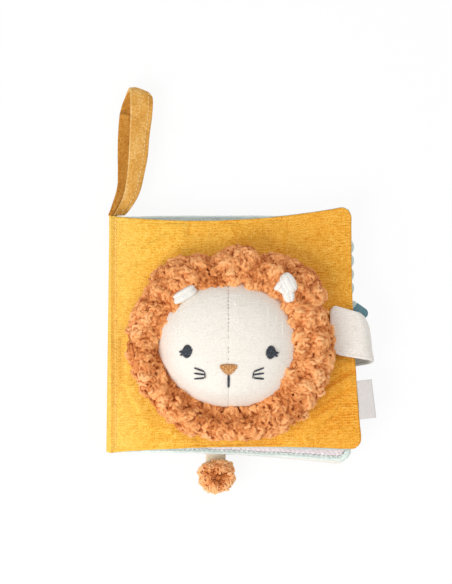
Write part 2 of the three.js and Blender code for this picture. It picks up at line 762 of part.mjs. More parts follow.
add('head_back', headBack(), twill)
add('head_stuffing', headStuffing(), wadding)
add('face_left', faceHalf(-1), faceLinen)
add('face_right', faceHalf(1), faceLinen)
add('mane', mane(), sherpa)
add('left_ear', ear(earLeft), faceLinen)
add('right_ear', ear(earRight), faceLinen)
add('left_eye', eye(-1), charcoal)
add('right_eye', eye(1), charcoal)
add('nose', nose(), noseThread)
add('mouth', mouth(), charcoal)
for (const [label, side] of [['left', -1], ['right', 1]]) {
  for (let row = 0; row < whiskerInnerYs.length; row++) {
    add(`${label}_whisker_${row + 1}`, whisker(side, row), charcoal)
  }
}
add('tail_tape', tailTape(), twill)
add('tail_pom', tailPom(), sherpa)

export default book
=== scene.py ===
import math

import bpy
import numpy as np
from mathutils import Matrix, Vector


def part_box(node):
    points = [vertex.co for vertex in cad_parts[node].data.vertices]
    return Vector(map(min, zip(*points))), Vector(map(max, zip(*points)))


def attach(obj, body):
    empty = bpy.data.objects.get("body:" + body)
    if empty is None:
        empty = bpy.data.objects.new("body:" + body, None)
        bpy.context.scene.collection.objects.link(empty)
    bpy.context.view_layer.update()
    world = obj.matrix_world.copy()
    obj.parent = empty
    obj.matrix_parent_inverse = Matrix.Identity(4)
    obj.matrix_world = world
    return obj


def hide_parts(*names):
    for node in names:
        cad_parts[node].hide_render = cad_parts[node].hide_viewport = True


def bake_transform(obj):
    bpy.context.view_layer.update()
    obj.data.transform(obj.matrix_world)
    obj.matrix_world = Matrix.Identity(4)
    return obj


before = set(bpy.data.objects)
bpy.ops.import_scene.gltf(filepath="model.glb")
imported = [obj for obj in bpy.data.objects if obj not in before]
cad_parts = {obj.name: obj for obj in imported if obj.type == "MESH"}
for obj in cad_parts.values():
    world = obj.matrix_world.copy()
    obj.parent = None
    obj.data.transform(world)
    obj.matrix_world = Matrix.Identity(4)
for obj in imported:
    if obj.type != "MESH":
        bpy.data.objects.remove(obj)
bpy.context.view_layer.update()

MM = 0.001
WHITE = (1, 1, 1, 1)
scene = bpy.context.scene
scene.view_settings.view_transform = "Standard"

# Sizes of the model, in millimetres

PAGE_WIDTH, PAGE_HEIGHT = 155.0, 152.0
MEAN_HEIGHT = PAGE_HEIGHT + 4
CLEARANCE, CLOTH = 0.3, 0.8
CROWN, RIM = 4.0, 1.8  # half of a panel's thickness at its middle and at its seam
REST_CUT = 0.5
HALF_WIDTH, HALF_HEIGHT = PAGE_WIDTH / 2, PAGE_HEIGHT / 2
BACK_MIDDLE = CROWN - REST_CUT
LEAF_MIDDLE = BACK_MIDDLE + 2 * CROWN + CLEARANCE
FRONT_MIDDLE = LEAF_MIDDLE + 2 * CROWN + CLEARANCE
FRONT_TOP = FRONT_MIDDLE + CROWN
HEAD_BACK = 1.0
HEAD_FOOT = FRONT_TOP + 2 * CLEARANCE + HEAD_BACK
FACE_HEIGHT = 32.0 - 2 * CLEARANCE - HEAD_BACK

# How far each panel's corners reach past the page, and how far its sides are drawn in
FRONT_SHAPE = dict(top_spine=-1.2, top_fore=5.5, bottom_fore=1.2, bottom_spine=3.1, fore_top=1.5,
                   fore_bottom=8.6, draw_top=6.0, draw_fore=2.2, draw_bottom=2.7)
LEAF_SHAPE = dict(top_spine=-1.6, top_fore=-1.8, bottom_fore=10.0, bottom_spine=3.4, fore_top=-1.0,
                  fore_bottom=2.0, draw_top=-1.0, draw_fore=1.4, draw_bottom=1.6)
BACK_SHAPE = dict(top_spine=-2.0, top_fore=-3.0, bottom_fore=12.6, bottom_spine=3.9, fore_top=-1.0,
                  fore_bottom=0.0, draw_top=1.0, draw_fore=1.2, draw_bottom=2.6)
FORE_RADIUS, SPINE_RADIUS = 8.0, 2.5

HEAD_MIDDLE = np.array([0.3, -6.8])
MANE_HALF = np.array([68.0, 63.8])
MANE_HEIGHT = 19.5
FACE_MIDDLE = np.array([-1.0, -8.4])
FACE_HALF = np.array([50.0, 45.0])
FACE_POWER = 2.4


# Numbers without chance

class Noise:
    """Smooth values from 0 to 1 over space, with lumps of a given size."""

    SIDE = 32

    def __init__(self, seed):
        maker = np.random.default_rng(seed)
        self.table = maker.random((self.SIDE,) * 3)
        self.shift = maker.random(3) * self.SIDE

    def at(self, points, size):
        place = points / size + self.shift
        low = np.floor(place).astype(int)
        part = place - low
        part = part * part * (3 - 2 * part)
        found = 0
        for corner in range(8):
            step = np.array([corner >> 2 & 1, corner >> 1 & 1, corner & 1])
            weight = np.prod(np.where(step, part, 1 - part), axis=-1)
            cell = (low + step) % self.SIDE
            found = found + weight * self.table[cell[..., 0], cell[..., 1], cell[..., 2]]
        return found

    def layers(self, points, size, count=3):
        total, share, weight = 0, 0, 1
        for layer in range(count):
            total = total + weight * self.at(points + layer * 17.3, size / 2 ** layer)
            share += weight
            weight /= 2
        return total / share


def uneven(seed, points, size, count=1):
    """Noise about zero, in a number of layers of which each is half the size of the last."""
    return Noise(seed).layers(points, size, count) - 0.5


def smooth(values, low, high):
    share = np.clip((values - low) / (high - low), 0, 1)
    return share * share * (3 - 2 * share)


def bell(values, middle, width):
    return np.exp(-((values - middle) / width) ** 2)


def unit(vectors):
    return vectors / np.maximum(np.linalg.norm(vectors, axis=-1, keepdims=True), 1e-9)


def turned(x, y, degrees):
    turn = math.radians(degrees)
    return x * math.cos(turn) - y * math.sin(turn), x * math.sin(turn) + y * math.cos(turn)


def circle(count):
    return np.linspace(0, 2 * np.pi, count, endpoint=False)


def shares(rows, columns, low=0.0):
    """Two grids of values from low to 1, one along the rows and one along the columns."""
    return np.meshgrid(np.linspace(low, 1, rows), np.linspace(low, 1, columns), indexing="ij")


def run_of(line):
    """The length along a line to each of its points."""
    return np.concatenate([[0], np.cumsum(np.linalg.norm(np.diff(line, axis=0), axis=1))])


def along_run(line, run, places):
    """Points at lengths along a line."""
    return np.stack([np.interp(places, run, line[:, k]) for k in range(line.shape[1])], axis=-1)


def dashes_on(line, length, pitch, start=0):
    """Both ends of each stitch of a seam along a line."""
    run = run_of(line)
    return [along_run(line, run, [begin, begin + length]) for begin in np.arange(start, run[-1] - 3, pitch)]


# Meshes

def make_object(name, points, faces, material, smooth_faces=True, attributes=None, uvs=None, slots=None):
    """A mesh object from points in millimetres. Attributes and uvs are given for each point."""
    mesh = bpy.data.meshes.new(name)
    points = np.asarray(points, float).reshape(-1, 3) * MM
    mesh.from_pydata(points.tolist(), [], [list(map(int, face)) for face in faces])
    mesh.validate()
    for one in material if isinstance(material, list) else [material]:
        mesh.materials.append(one)
    if slots is not None:
        mesh.polygons.foreach_set("material_index", np.asarray(slots, np.int32))
    mesh.polygons.foreach_set("use_smooth", np.broadcast_to(smooth_faces, len(mesh.polygons)).astype(bool))
    for key, values in (attributes or {}).items():
        layer = mesh.attributes.new(key, "FLOAT", "POINT")
        layer.data.foreach_set("value", np.asarray(values, np.float32).ravel())
    if uvs is not None:
        layer = mesh.uv_layers.new(name="UVMap")
        loops = np.empty(len(mesh.loops), np.int32)
        mesh.loops.foreach_get("vertex_index", loops)
        layer.data.foreach_set("uv", np.asarray(uvs, np.float32).reshape(-1, 2)[loops].ravel())
    thing = bpy.data.objects.new(name, mesh)
    scene.collection.objects.link(thing)
    return thing


def dress(piece, slot, body, *nodes, fill=None):
    """Hides the parts of the model that a piece stands for, and attaches the piece to the body it rides on. The slot
    and fill are not used.
    """
    if nodes:
        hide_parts(*nodes)
    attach(piece, body)


def grid_faces(rows, columns, start=0, flip=False, wrap=False):
    """Quads of a grid of points, rows by columns. With wrap the last column joins the first."""
    index = np.arange(rows * columns).reshape(rows, columns) + start
    if wrap:
        index = np.concatenate([index, index[:, :1]], axis=1)
    quads = np.stack([index[:-1, :-1], index[1:, :-1], index[1:, 1:], index[:-1, 1:]], axis=-1).reshape(-1, 4)
    return quads[:, ::-1] if flip else quads


def capped_faces(rings, turns, start=0):
    """Faces of a grid that wraps along its columns and is closed at both ends."""
    end = start + rings * turns
    return [*grid_faces(rings, turns, start, wrap=True), range(start, start + turns),
            range(end - 1, end - turns - 1, -1)]


def border_of(rows, columns):
    """Indices round a grid, anticlockwise where rows run along X and columns along Y."""
    index = np.arange(rows * columns).reshape(rows, columns)
    return np.concatenate([index[:-1, 0], index[-1, :-1], index[:0:-1, -1], index[0, :0:-1]])


def level_of(points, step):
    """The height of a surface by place, from points no further apart than the step: a function of places."""
    flat = points.reshape(-1, 3)
    low = flat[:, :2].min(0)
    cells = ((flat[:, :2] - low) / step).astype(int)
    shape = cells.max(0) + 1
    total, count = np.zeros(shape), np.zeros(shape)
    np.add.at(total, tuple(cells.T), flat[:, 2])
    np.add.at(count, tuple(cells.T), 1)
    level = np.where(count > 0, total / np.maximum(count, 1), flat[:, 2].min())

    def at(places):
        where = np.clip((places - low) / step - 0.5, 0, shape - 1.001)
        i, j = where[..., 0].astype(int), where[..., 1].astype(int)
        a, b = where[..., 0] - i, where[..., 1] - j
        return ((1 - a) * (1 - b) * level[i, j] + a * (1 - b) * level[i + 1, j]
                + (1 - a) * b * level[i, j + 1] + a * b * level[i + 1, j + 1])
    return at


def slab(name, upper, under, material, **fields):
    """A closed sheet between two grids of points."""
    rows, columns = upper.shape[:2]
    count = rows * columns
    border = border_of(rows, columns)
    onward = np.roll(border, -1)
    wall = np.stack([border, border + count, onward + count, onward], axis=-1)
    faces = np.concatenate([grid_faces(rows, columns), grid_faces(rows, columns, count, flip=True), wall])
    uv = np.stack(shares(rows, columns), axis=-1).reshape(-1, 2)
    points = np.concatenate([upper.reshape(-1, 3), under.reshape(-1, 3)])
    return make_object(name, points, faces, material, uvs=np.concatenate([uv, uv]), **fields)


def refine(grid, rows, columns):
    """The same surface on a finer grid, by cubic curves through the points."""
    def weights(count, fine):
        matrix = np.zeros((fine, count))
        for k, place in enumerate(np.linspace(0, count - 1, fine)):
            i = min(int(place), count - 2)
            t = place - i
            cubic = [-t + 2 * t**2 - t**3, 2 - 5 * t**2 + 3 * t**3, t + 4 * t**2 - 3 * t**3, t**3 - t**2]
            for step, weight in zip(range(-1, 3), cubic):
                matrix[k, min(max(i + step, 0), count - 1)] += weight / 2
        return matrix
    return np.einsum("ai,bj,ijk->abk", weights(grid.shape[0], rows), weights(grid.shape[1], columns), grid)


def refine_line(places, count):
    return refine(places[:, None].repeat(2, axis=1), count, 2)[:, 0]


def curve_through(places, count):
    """Points at even lengths along a smooth curve through the places."""
    places = np.asarray(places, float)
    fine = refine_line(places, len(places) * 24)
    run = run_of(fine)
    return along_run(fine, run, np.linspace(0, run[-1], count))


def tubes(paths, radii, sides=6, flat=1.0, up=(0, 0, 1)):
    """Closed tubes along many paths of equal count: paths (n, rings, 3) and radii (n, rings)."""
    paths = np.asarray(paths, float)
    radii = np.broadcast_to(np.asarray(radii, float), paths.shape[:2])
    count, rings = paths.shape[:2]
    along = unit(np.gradient(paths, axis=1))
    lift = np.broadcast_to(np.asarray(up, float), along.shape)
    side = unit(np.cross(along, lift))
    lift = np.cross(side, along)
    angle = np.arange(sides) * 2 * np.pi / sides
    ring = np.cos(angle)[:, None] * side[:, :, None, :] + flat * np.sin(angle)[:, None] * lift[:, :, None, :]
    points = paths[:, :, None, :] + ring * radii[:, :, None, None]
    starts = (np.arange(count) * rings * sides)[:, None, None]
    walls = (grid_faces(rings, sides, wrap=True)[None] + starts).reshape(-1, 4)
    ends = np.stack([np.arange(sides), rings * sides - 1 - np.arange(sides)])
    caps = (ends[None] + starts).reshape(-1, sides)
    u = np.broadcast_to(np.linspace(0, 1, sides), (count, rings, sides))
    v = np.broadcast_to(np.linspace(0, 1, rings)[:, None], (count, rings, sides))
    return points.reshape(-1, 3), [*walls.tolist(), *caps.tolist()], np.stack([u, v], axis=-1).reshape(-1, 2)


# Materials

def colour(code):
    """A linear colour from a hex code."""
    parts = [int(code[i:i + 2], 16) / 255 for i in (0, 2, 4)]
    return (*[c / 12.92 if c <= 0.04045 else ((c + 0.055) / 1.055) ** 2.4 for c in parts], 1)


def add_node(tree, kind, inputs=None, **fields):
    node = tree.nodes.new(kind)
    for key, value in fields.items():
        setattr(node, key, value)
    for key, value in (inputs or {}).items():
        if isinstance(value, bpy.types.NodeSocket):
            tree.links.new(value, node.inputs[key])
        else:
            node.inputs[key].default_value = value
    return node


class Finish:
    """A material's nodes. Values are numbers, colours or other nodes' outputs."""

    def __init__(self, name):
        self.material = bpy.data.materials.new(name)
        self.material.use_nodes = True
        self.tree = self.material.node_tree
        self.tree.nodes.clear()
        self.output = self.add("ShaderNodeOutputMaterial")
        self.place = self.add("ShaderNodeTexCoord").outputs["Object"]

    def add(self, kind, inputs=None, **fields):
        return add_node(self.tree, kind, inputs, **fields)

    def math(self, operation, first, second=0.0, third=0.0):
        return self.add("ShaderNodeMath", {0: first, 1: second, 2: third}, operation=operation).outputs[0]

    def total(self, *parts):
        """The sum of the parts, each a value alone or with what it is multiplied by."""
        values = [self.math("MULTIPLY", *part) if isinstance(part, tuple) else part for part in parts]
        found = values[0]
        for value in values[1:]:
            found = self.math("ADD", found, value)
        return found

    def about_zero(self, value):
        return self.math("SUBTRACT", value, 0.5)

    def scaled(self, x, y, z, vector=None, turn=0.0):
        return self.add("ShaderNodeMapping", {
            "Vector": vector or self.place, "Scale": (x, y, z), "Rotation": (0, 0, turn)}).outputs[0]

    def noise(self, size, detail=2.0, vector=None, rough=0.5, warp=0.0):
        """Noise with lumps of a size in millimetres."""
        return self.add("ShaderNodeTexNoise", {
            "Vector": vector or self.place, "Scale": 1 / (size * MM), "Detail": detail, "Roughness": rough,
            "Distortion": warp}).outputs["Fac"]

    def ramp(self, value, *stops):
        node = self.add("ShaderNodeValToRGB", {"Fac": value})
        points = node.color_ramp.elements
        while len(points) < len(stops):
            points.new(0.5)
        for point, (place, code) in zip(points, stops):
            point.position = place
            point.color = colour(code)
        return node.outputs["Color"]

    def mix(self, share, first, second, blend="MIX"):
        first, second = (colour(one) if isinstance(one, str) else one for one in (first, second))
        return self.add("ShaderNodeMix", {0: share, 6: first, 7: second}, data_type="RGBA", blend_type=blend).outputs[2]

    def remap(self, value, low, high, to_low=0.0, to_high=1.0):
        return self.add("ShaderNodeMapRange", {
            "Value": value, "From Min": low, "From Max": high, "To Min": to_low, "To Max": to_high}).outputs[0]

    def attribute(self, name):
        return self.add("ShaderNodeAttribute", attribute_name=name).outputs["Fac"]

    def uv(self):
        return self.add("ShaderNodeTexCoord").outputs["UV"]

    def axes(self, place=None):
        return self.add("ShaderNodeSeparateXYZ", {0: place or self.place}).outputs

    def ripple(self, value, pitch):
        """A sine wave of a pitch in millimetres."""
        return self.math("SINE", self.math("MULTIPLY", value, 2 * math.pi / (pitch * MM)))

    def bump(self, height, distance, strength):
        return self.add("ShaderNodeBump", {
            "Height": height, "Distance": distance * MM, "Strength": strength}).outputs[0]

    def cloth(self, base, normal, roughness, sheen, sheen_roughness, specular, sheen_tint=WHITE):
        shader = self.add("ShaderNodeBsdfPrincipled", {
            "Base Color": base, "Normal": normal, "Roughness": roughness, "Sheen Weight": sheen,
            "Sheen Tint": sheen_tint, "Sheen Roughness": sheen_roughness, "Specular IOR Level": specular})
        self.tree.links.new(shader.outputs[0], self.output.inputs["Surface"])
        return self.material

    def weave(self, warp_size, weft_size, wander, rows=0.5):
        """Threads over and under each other: a height from 0 to 1, with a little wander in the threads.
        The share of rows says how much the threads across stand out against those along."""
        drift_size = 6
        drift = self.add("ShaderNodeTexNoise", {
            "Vector": self.place, "Scale": 1 / (drift_size * MM), "Detail": 2.0}).outputs["Color"]
        reach = wander * drift_size * warp_size * MM
        shifted = self.add("ShaderNodeVectorMath", {0: drift, 3: reach}, operation="SCALE")
        place = self.add("ShaderNodeVectorMath", {0: self.place, 1: shifted.outputs[0]}, operation="ADD").outputs[0]
        parts = self.axes(place)
        across, along = self.ripple(parts[0], warp_size), self.ripple(parts[1], weft_size)
        return self.math("MULTIPLY_ADD", along, rows / 2, self.math("MULTIPLY_ADD", across, (1 - rows) / 2, 0.5))


def muslin_finish(name, *tones):
    """Crinkled muslin: broken ribs from the mesh, threads, flecks, and a colour that changes across the cover: darker
    and more orange toward the fore edge, partly the cloth's own uneven fading and partly painted shade, and paler near
    the spine edge as painted highlight. On the front cover the rib attribute also carries painted shade in the fold
    valleys.
    """
    f = Finish(name)
    weave = f.weave(1.3, 1.75, 0.4, 0.7)
    fleck = f.noise(0.8, 2.0, f.scaled(0.85, 1.1, 1), 0.75)
    streak = f.noise(1.1, 3.0, f.scaled(0.7, 1.2, 1), 0.6)
    tone = f.total((f.attribute("rib"), 0.17), (weave, 0.09), (fleck, 0.64), (streak, 0.1))
    base = f.ramp(tone, *zip((0.35, 0.45, 0.54, 0.65), tones))
    base = f.mix(f.remap(f.noise(24, 3.0), 0.35, 0.75, 0.0, 0.3), base, tones[2])
    across = f.axes()[0]
    # Painted shade: darker and more orange toward the fore edge, partly the cloth's own uneven fading
    fade_and_painted_shade = f.total(across, (f.about_zero(f.noise(50, 2.0)), 0.12))
    base = f.mix(f.remap(fade_and_painted_shade, -0.05, 0.09, 0.0, 0.55), base, f.mix(0.6, base, "F0A23A", "MULTIPLY"))
    # Painted highlight: paler near the spine edge
    base = f.mix(f.remap(across, -0.078, -0.052, 0.3, 0.0), base, tones[3])
    height = f.total((weave, 0.3), f.total(fleck, streak))
    return f.cloth(base, f.bump(height, 0.2, 0.8), 0.95, 0.0, 0.5, 0.02)


def plain_weave_finish(name, low, middle, high, threads=0.8, slub=0.0, slub_tone=""):
    """Plain cloth. A share of slub gives it thick threads, dark specks and pale threads on the slant."""
    f = Finish(name)
    weave = f.weave(threads, threads * 0.94, 0.2)
    fleck = f.noise(threads * 1.1, 3.0, rough=0.7)
    base = f.ramp(f.total((weave, 0.2), (fleck, 0.8)), (0.28, low), (0.5, middle), (0.72, high))
    height = f.total((weave, 0.5), fleck)
    if slub:
        across = f.noise(1.0, 2.0, f.scaled(0.16, 1.6, 0.6), 0.55)
        along = f.noise(1.0, 2.0, f.scaled(1.6, 0.16, 0.6), 0.55)
        thick = f.math("MAXIMUM", f.remap(across, 0.64, 0.74), f.remap(along, 0.65, 0.76))
        base = f.mix(f.math("MULTIPLY", thick, slub), base, slub_tone)
        speck = f.noise(0.7, 2.0, rough=0.7)
        base = f.mix(f.remap(speck, 0.68, 0.78, 0.0, slub * 1.6), base, "C9AE88")
        light = f.noise(1.0, 2.0, f.scaled(0.12, 1.9, 0.6, turn=0.4), 0.55)
        base = f.mix(f.math("MULTIPLY", f.remap(light, 0.64, 0.74), 0.6), base, "FBFAF6")
        height = f.total(height, (thick, 0.8))
    return f.cloth(base, f.bump(height, 0.15, 0.7), 0.95, 0.05, 0.5, 0.05)


def velour_finish(name, low, middle, high, shaded=False):
    """Brushed pile. Where it is shaded, the mesh's tone attribute darkens it as painted shade or lightens it as painted
    highlight.
    """
    f = Finish(name)
    nap = f.noise(1.1, 4.0, rough=0.75, warp=0.6)
    tone = f.total((nap, 0.72), (f.noise(7, 3.0, f.scaled(1, 0.5, 1)), 0.28))
    if shaded:
        tone = f.total(tone, f.attribute("tone"))
    base = f.ramp(tone, (0.3, low), (0.5, middle), (0.7, high))
    return f.cloth(base, f.bump(nap, 0.6, 0.9), 0.95, 0.1, 0.4, 0.05)


def fleece_finish():
    """Curly fleece: the mesh's tone says how deep each place lies, as painted shade that darkens the deep places and
    lightens the high ones.
    """
    f = Finish("sherpa")
    streak = f.add("ShaderNodeTexNoise", {
        "Vector": f.add("ShaderNodeMapping", {"Vector": f.uv(), "Scale": (9.0, 1.6, 1.0)}).outputs[0],
        "Scale": 1.0, "Detail": 3.0, "Roughness": 0.6, "Distortion": 0.4}).outputs["Fac"]
    fuzz = f.noise(0.6, 3.0, rough=0.7)
    value = f.total(f.attribute("tone"), (f.about_zero(streak), 0.2), (f.about_zero(fuzz), 0.22))
    base = f.ramp(value, (0.03, "7C3A15"), (0.28, "C8763F"), (0.56, "F2AB6D"), (0.86, "FCC892"))
    return f.cloth(base, f.bump(f.total((streak, 0.8), fuzz), 0.12, 0.5), 0.95, 0.15, 0.5, 0.02, colour("FFD2A0"))


def thread_finish(name, low, middle, high):
    f = Finish(name)
    twist = f.add("ShaderNodeTexWave", {
        "Vector": f.uv(), "Scale": 3.2, "Distortion": 1.5, "Detail": 2.0}, bands_direction="DIAGONAL").outputs["Fac"]
    tone = f.total((twist, 0.3), (f.noise(0.8, 3.0), 0.7))
    base = f.ramp(tone, (0.34, low), (0.5, middle), (0.66, high))
    return f.cloth(base, f.bump(tone, 0.12, 0.7), 0.6, 0.1, 0.4, 0.35)


def satin_finish():
    f = Finish("tag_satin")
    rows = f.ripple(f.axes()[1], 0.42)
    fleck = f.noise(0.8, 3.0, f.scaled(1, 0.3, 1))
    tone = f.total(f.math("MULTIPLY_ADD", rows, 0.2, 0.25), (fleck, 0.6))
    base = f.ramp(tone, (0.2, "C4BFBC"), (0.5, "D2CDCA"), (0.8, "DDD9D6"))
    return f.cloth(base, f.bump(tone, 0.06, 0.5), 0.48, 0.1, 0.3, 0.4)


TWILL_PITCH = 1.15


def twill_finish():
    f = Finish("tape_twill")
    parts = f.axes()
    ribs = f.ripple(f.total(parts[0], parts[1]), TWILL_PITCH)
    tone = f.total(f.math("MULTIPLY_ADD", ribs, 0.22, 0.25), (f.noise(0.6, 3.0), 0.55))
    base = f.ramp(tone, (0.2, "EFD9B4"), (0.5, "FAEACF"), (0.8, "FFF5E4"))
    return f.cloth(base, f.bump(tone, 0.2, 0.8), 0.85, 0.1, 0.4, 0.2)


MUSLIN = muslin_finish("mustard_muslin", "CC8424", "EAAC3A", "F6C352", "FEDC7A")
LINING = plain_weave_finish("mint_lining", "D5E2DA", "E1ECE5", "EDF4EF", 0.7)
VELOUR = velour_finish("mint_velour", "D2E3D9", "E5F0EA", "F4FAF7")
LOOP_NAP = velour_finish("loop_nap", "B87528", "E0A54E", "F8D495", shaded=True)
PINK = velour_finish("pink_cloth", "E8D2D6", "F4E6E8", "FBF3F4")
CREAM = plain_weave_finish("cream_cloth", "EDE6D9", "F5F0E6", "FBF8F2", 0.7)
LINEN = plain_weave_finish("strap_linen", "DFD7CC", "EBE5DD", "F5F1EB", 1.1, 0.5, "CDBFAB")
FACE = plain_weave_finish("face_linen", "DDD4C8", "EBE5DB", "F5F1EA", 0.8, 0.4, "DCCDB8")
SLUB = plain_weave_finish("face_linen_slub", "EFEAE1", "F8F5EF", "FDFBF8", 0.5)
EAR = plain_weave_finish("ear_linen", "DAD5CC", "EDE9E2", "F7F5F1")
SHERPA = fleece_finish()
CHARCOAL = thread_finish("charcoal_thread", "101317", "262A31", "5C636E")
NOSE = thread_finish("nose_thread", "763A12", "CC8442", "F8CC90")
SATIN = satin_finish()
TRIM = velour_finish("scallop_velour", "CBDED5", "DDE9E2", "ECF4F0")
TEAL = velour_finish("teal_cloth", "5A8492", "769CA8", "90B1BB")
TWILL = twill_finish()
HOOK = plain_weave_finish("hook_tape", "D8D2C8", "E6E1D9", "F0ECE6", 1.2)


# Threads laid over a surface

def stitch_tubes(name, lines, radius, material, body="front_cover", flat=0.8):
    """Short stitches, each from a start to an end point, bowed up a little in the middle."""
    lines = np.asarray(lines, float)
    rings = 7
    share = np.linspace(0, 1, rings)[None, :, None]
    paths = lines[:, None, 0] + (lines[:, None, 1] - lines[:, None, 0]) * share
    paths[..., 2] += radius * 0.7 * np.sin(np.pi * share[..., 0])
    ends = np.array([0.35, *[1.0] * (rings - 2), 0.35])
    points, faces, uv = tubes(paths, radius * ends[None], 6, flat)
    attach(make_object(name, points, faces, material, uvs=uv), body)


# Panels

def side_curve(start, end, draw, share):
    """A panel's side from corner to corner, drawn in at its middle."""
    start, end = np.asarray(start, float), np.asarray(end, float)
    along = unit(end - start)
    inward = np.array([-along[1], along[0]])
    return start + (end - start) * share[:, None] + inward * (draw * 4 * share * (1 - share))[:, None]


def rounded_corners(away, radius):
    """How far a point near a corner moves in along each side, given how far away the sides are."""
    inside = np.clip(1 - away / radius, 0, 1)
    return (inside - inside * np.sqrt(1 - inside[..., ::-1] ** 2 / 2)) * radius


def panel_grid(shape, rows, columns):
    """Points inside a panel's outline, rows along X and columns along Y, with rounded corners."""
    low_spine = (-HALF_WIDTH, -HALF_HEIGHT - shape["bottom_spine"])
    low_fore = (HALF_WIDTH + shape["fore_bottom"], -HALF_HEIGHT - shape["bottom_fore"])
    high_fore = (HALF_WIDTH + shape["fore_top"], HALF_HEIGHT + shape["top_fore"])
    high_spine = (-HALF_WIDTH, HALF_HEIGHT + shape["top_spine"])
    span = np.array([PAGE_WIDTH + 5, MEAN_HEIGHT])
    u, v = shares(rows, columns)
    away = np.stack([np.minimum(u, 1 - u) * span[0], np.minimum(v, 1 - v) * span[1]], axis=-1)
    shift = rounded_corners(away, np.where(u < 0.5, SPINE_RADIUS, FORE_RADIUS)[..., None]) / span
    u = (u + np.where(u < 0.5, 1, -1) * shift[..., 0]).ravel()
    v = (v + np.where(v < 0.5, 1, -1) * shift[..., 1]).ravel()
    bottom = side_curve(low_spine, low_fore, shape["draw_bottom"], u)
    top = side_curve(high_fore, high_spine, shape["draw_top"], 1 - u)
    fore = side_curve(low_fore, high_fore, shape["draw_fore"], v)
    spine = side_curve(high_spine, low_spine, 0, 1 - v)
    u, v = u[:, None], v[:, None]
    corners = (1 - u) * (1 - v) * low_spine + u * (1 - v) * low_fore + (1 - u) * v * high_spine + u * v * high_fore
    return ((1 - v) * bottom + v * top + (1 - u) * spine + u * fore - corners).reshape(rows, columns, 2)


def edge_share(rows, columns):
    """How far out each grid point lies, from 0 in the middle to 1: along a square, and along a rounded one."""
    u, v = np.abs(shares(rows, columns, -1))
    return np.maximum(u, v), (u ** 6 + v ** 6) ** (1 / 6)


def face_height(share):
    return RIM + (CROWN - RIM) * np.sqrt(np.clip(1 - share ** 4, 0, 1))


def soft_cap(values, limit):
    """Values that close in on a limit instead of passing it."""
    knee = 0.6 * limit
    room = limit - knee
    return np.minimum(values, knee) + room * (1 - np.exp(-np.maximum(values - knee, 0) / room))


SIM_SIZE = 41, 39
SIM_STEPS = 20
SIM_REACH = 1.5  # how far the simulation may move a point sideways


def blown(points, faces, rim, spare):
    """The points of two cloths after a cloth simulation has blown them up between their pinned rim."""
    cloth = make_object("panel_cloth", points, faces, MUSLIN)
    cloth.vertex_groups.new(name="rim").add(rim.tolist(), 1.0, "REPLACE")
    modifier = cloth.modifiers.new("Cloth", "CLOTH")
    modifier.collision_settings.use_collision = False
    settings = modifier.settings
    settings.quality = 6
    settings.mass = 0.15
    settings.use_pressure = True
    settings.uniform_pressure_force = 4.0
    settings.vertex_group_mass = "rim"
    settings.effector_weights.gravity = 0
    settings.tension_stiffness = settings.compression_stiffness = 8
    settings.bending_stiffness = 0.05
    settings.shrink_min = -spare
    for step in range(SIM_STEPS):
        scene.frame_set(step + 1)
    settled = cloth.evaluated_get(bpy.context.evaluated_depsgraph_get())
    found = np.empty(len(points) * 3, np.float32)
    settled.data.vertices.foreach_get("co", found)
    bpy.data.objects.remove(cloth)
    scene.frame_set(1)
    moved = found.reshape(-1, 3) / MM - points
    moved[:, :2] = np.clip(moved[:, :2], -SIM_REACH, SIM_REACH)
    return points + moved


def inflate(shape, middle, low_cap, high_cap, seed, spare=0.02):
    """Two cloths sewn round a panel's rim and blown up. Returns both as coarse grids."""
    rows, columns = SIM_SIZE
    grid = panel_grid(shape, rows, columns)
    square, rounded = edge_share(rows, columns)
    height = 0.3 + 0.5 * CROWN * np.clip(1 - square ** 4, 0, 1)
    jitter = uneven(seed, np.concatenate([grid, grid[..., :1] * 0], axis=-1), 16)
    upper, under = (np.concatenate([grid, (middle + side * height + jitter)[..., None]], axis=-1) for side in (1, -1))
    border = border_of(rows, columns)
    upper.reshape(-1, 3)[border, 2] = middle
    inner = np.setdiff1d(np.arange(rows * columns), border)
    relabel = np.arange(rows * columns)
    relabel[inner] = rows * columns + np.arange(len(inner))
    points = np.concatenate([upper.reshape(-1, 3), under.reshape(-1, 3)[inner]])
    faces = np.concatenate([grid_faces(rows, columns), relabel[grid_faces(rows, columns, flip=True)]])
    points = blown(points, faces, border, spare)
    upper = points[:rows * columns].reshape(rows, columns, 3)
    under = points[relabel].reshape(rows, columns, 3)
    limit = face_height(np.clip(rounded, 0, 1))
    rise, fall = upper[..., 2] - middle, middle - under[..., 2]
    upper[..., 2] = middle + soft_cap(rise, limit * high_cap / CROWN)
    under[..., 2] = middle - soft_cap(fall, limit * low_cap / CROWN)
    return upper, under


def panel_side(cloth, size, middle, side):
    """A blown cloth on a finer grid, its edge filled out by the seam allowance inside, with the distance of each
    point from the edge, how free of the seam it is, and how far from the middle it may stand."""
    u, v = shares(*size)
    inset = np.minimum(np.minimum(u, 1 - u) * PAGE_WIDTH, np.minimum(v, 1 - v) * MEAN_HEIGHT)
    face = refine(cloth, *size)
    allowance = RIM * np.sqrt(1 - np.clip(1 - inset / RIM, 0, 1) ** 2)
    face[..., 2] = middle + side * np.maximum(side * (face[..., 2] - middle), allowance)
    square, rounded = edge_share(*size)
    return face, inset, smooth(1 - square, 0.0, 0.03), face_height(np.clip(rounded, 0, 1))


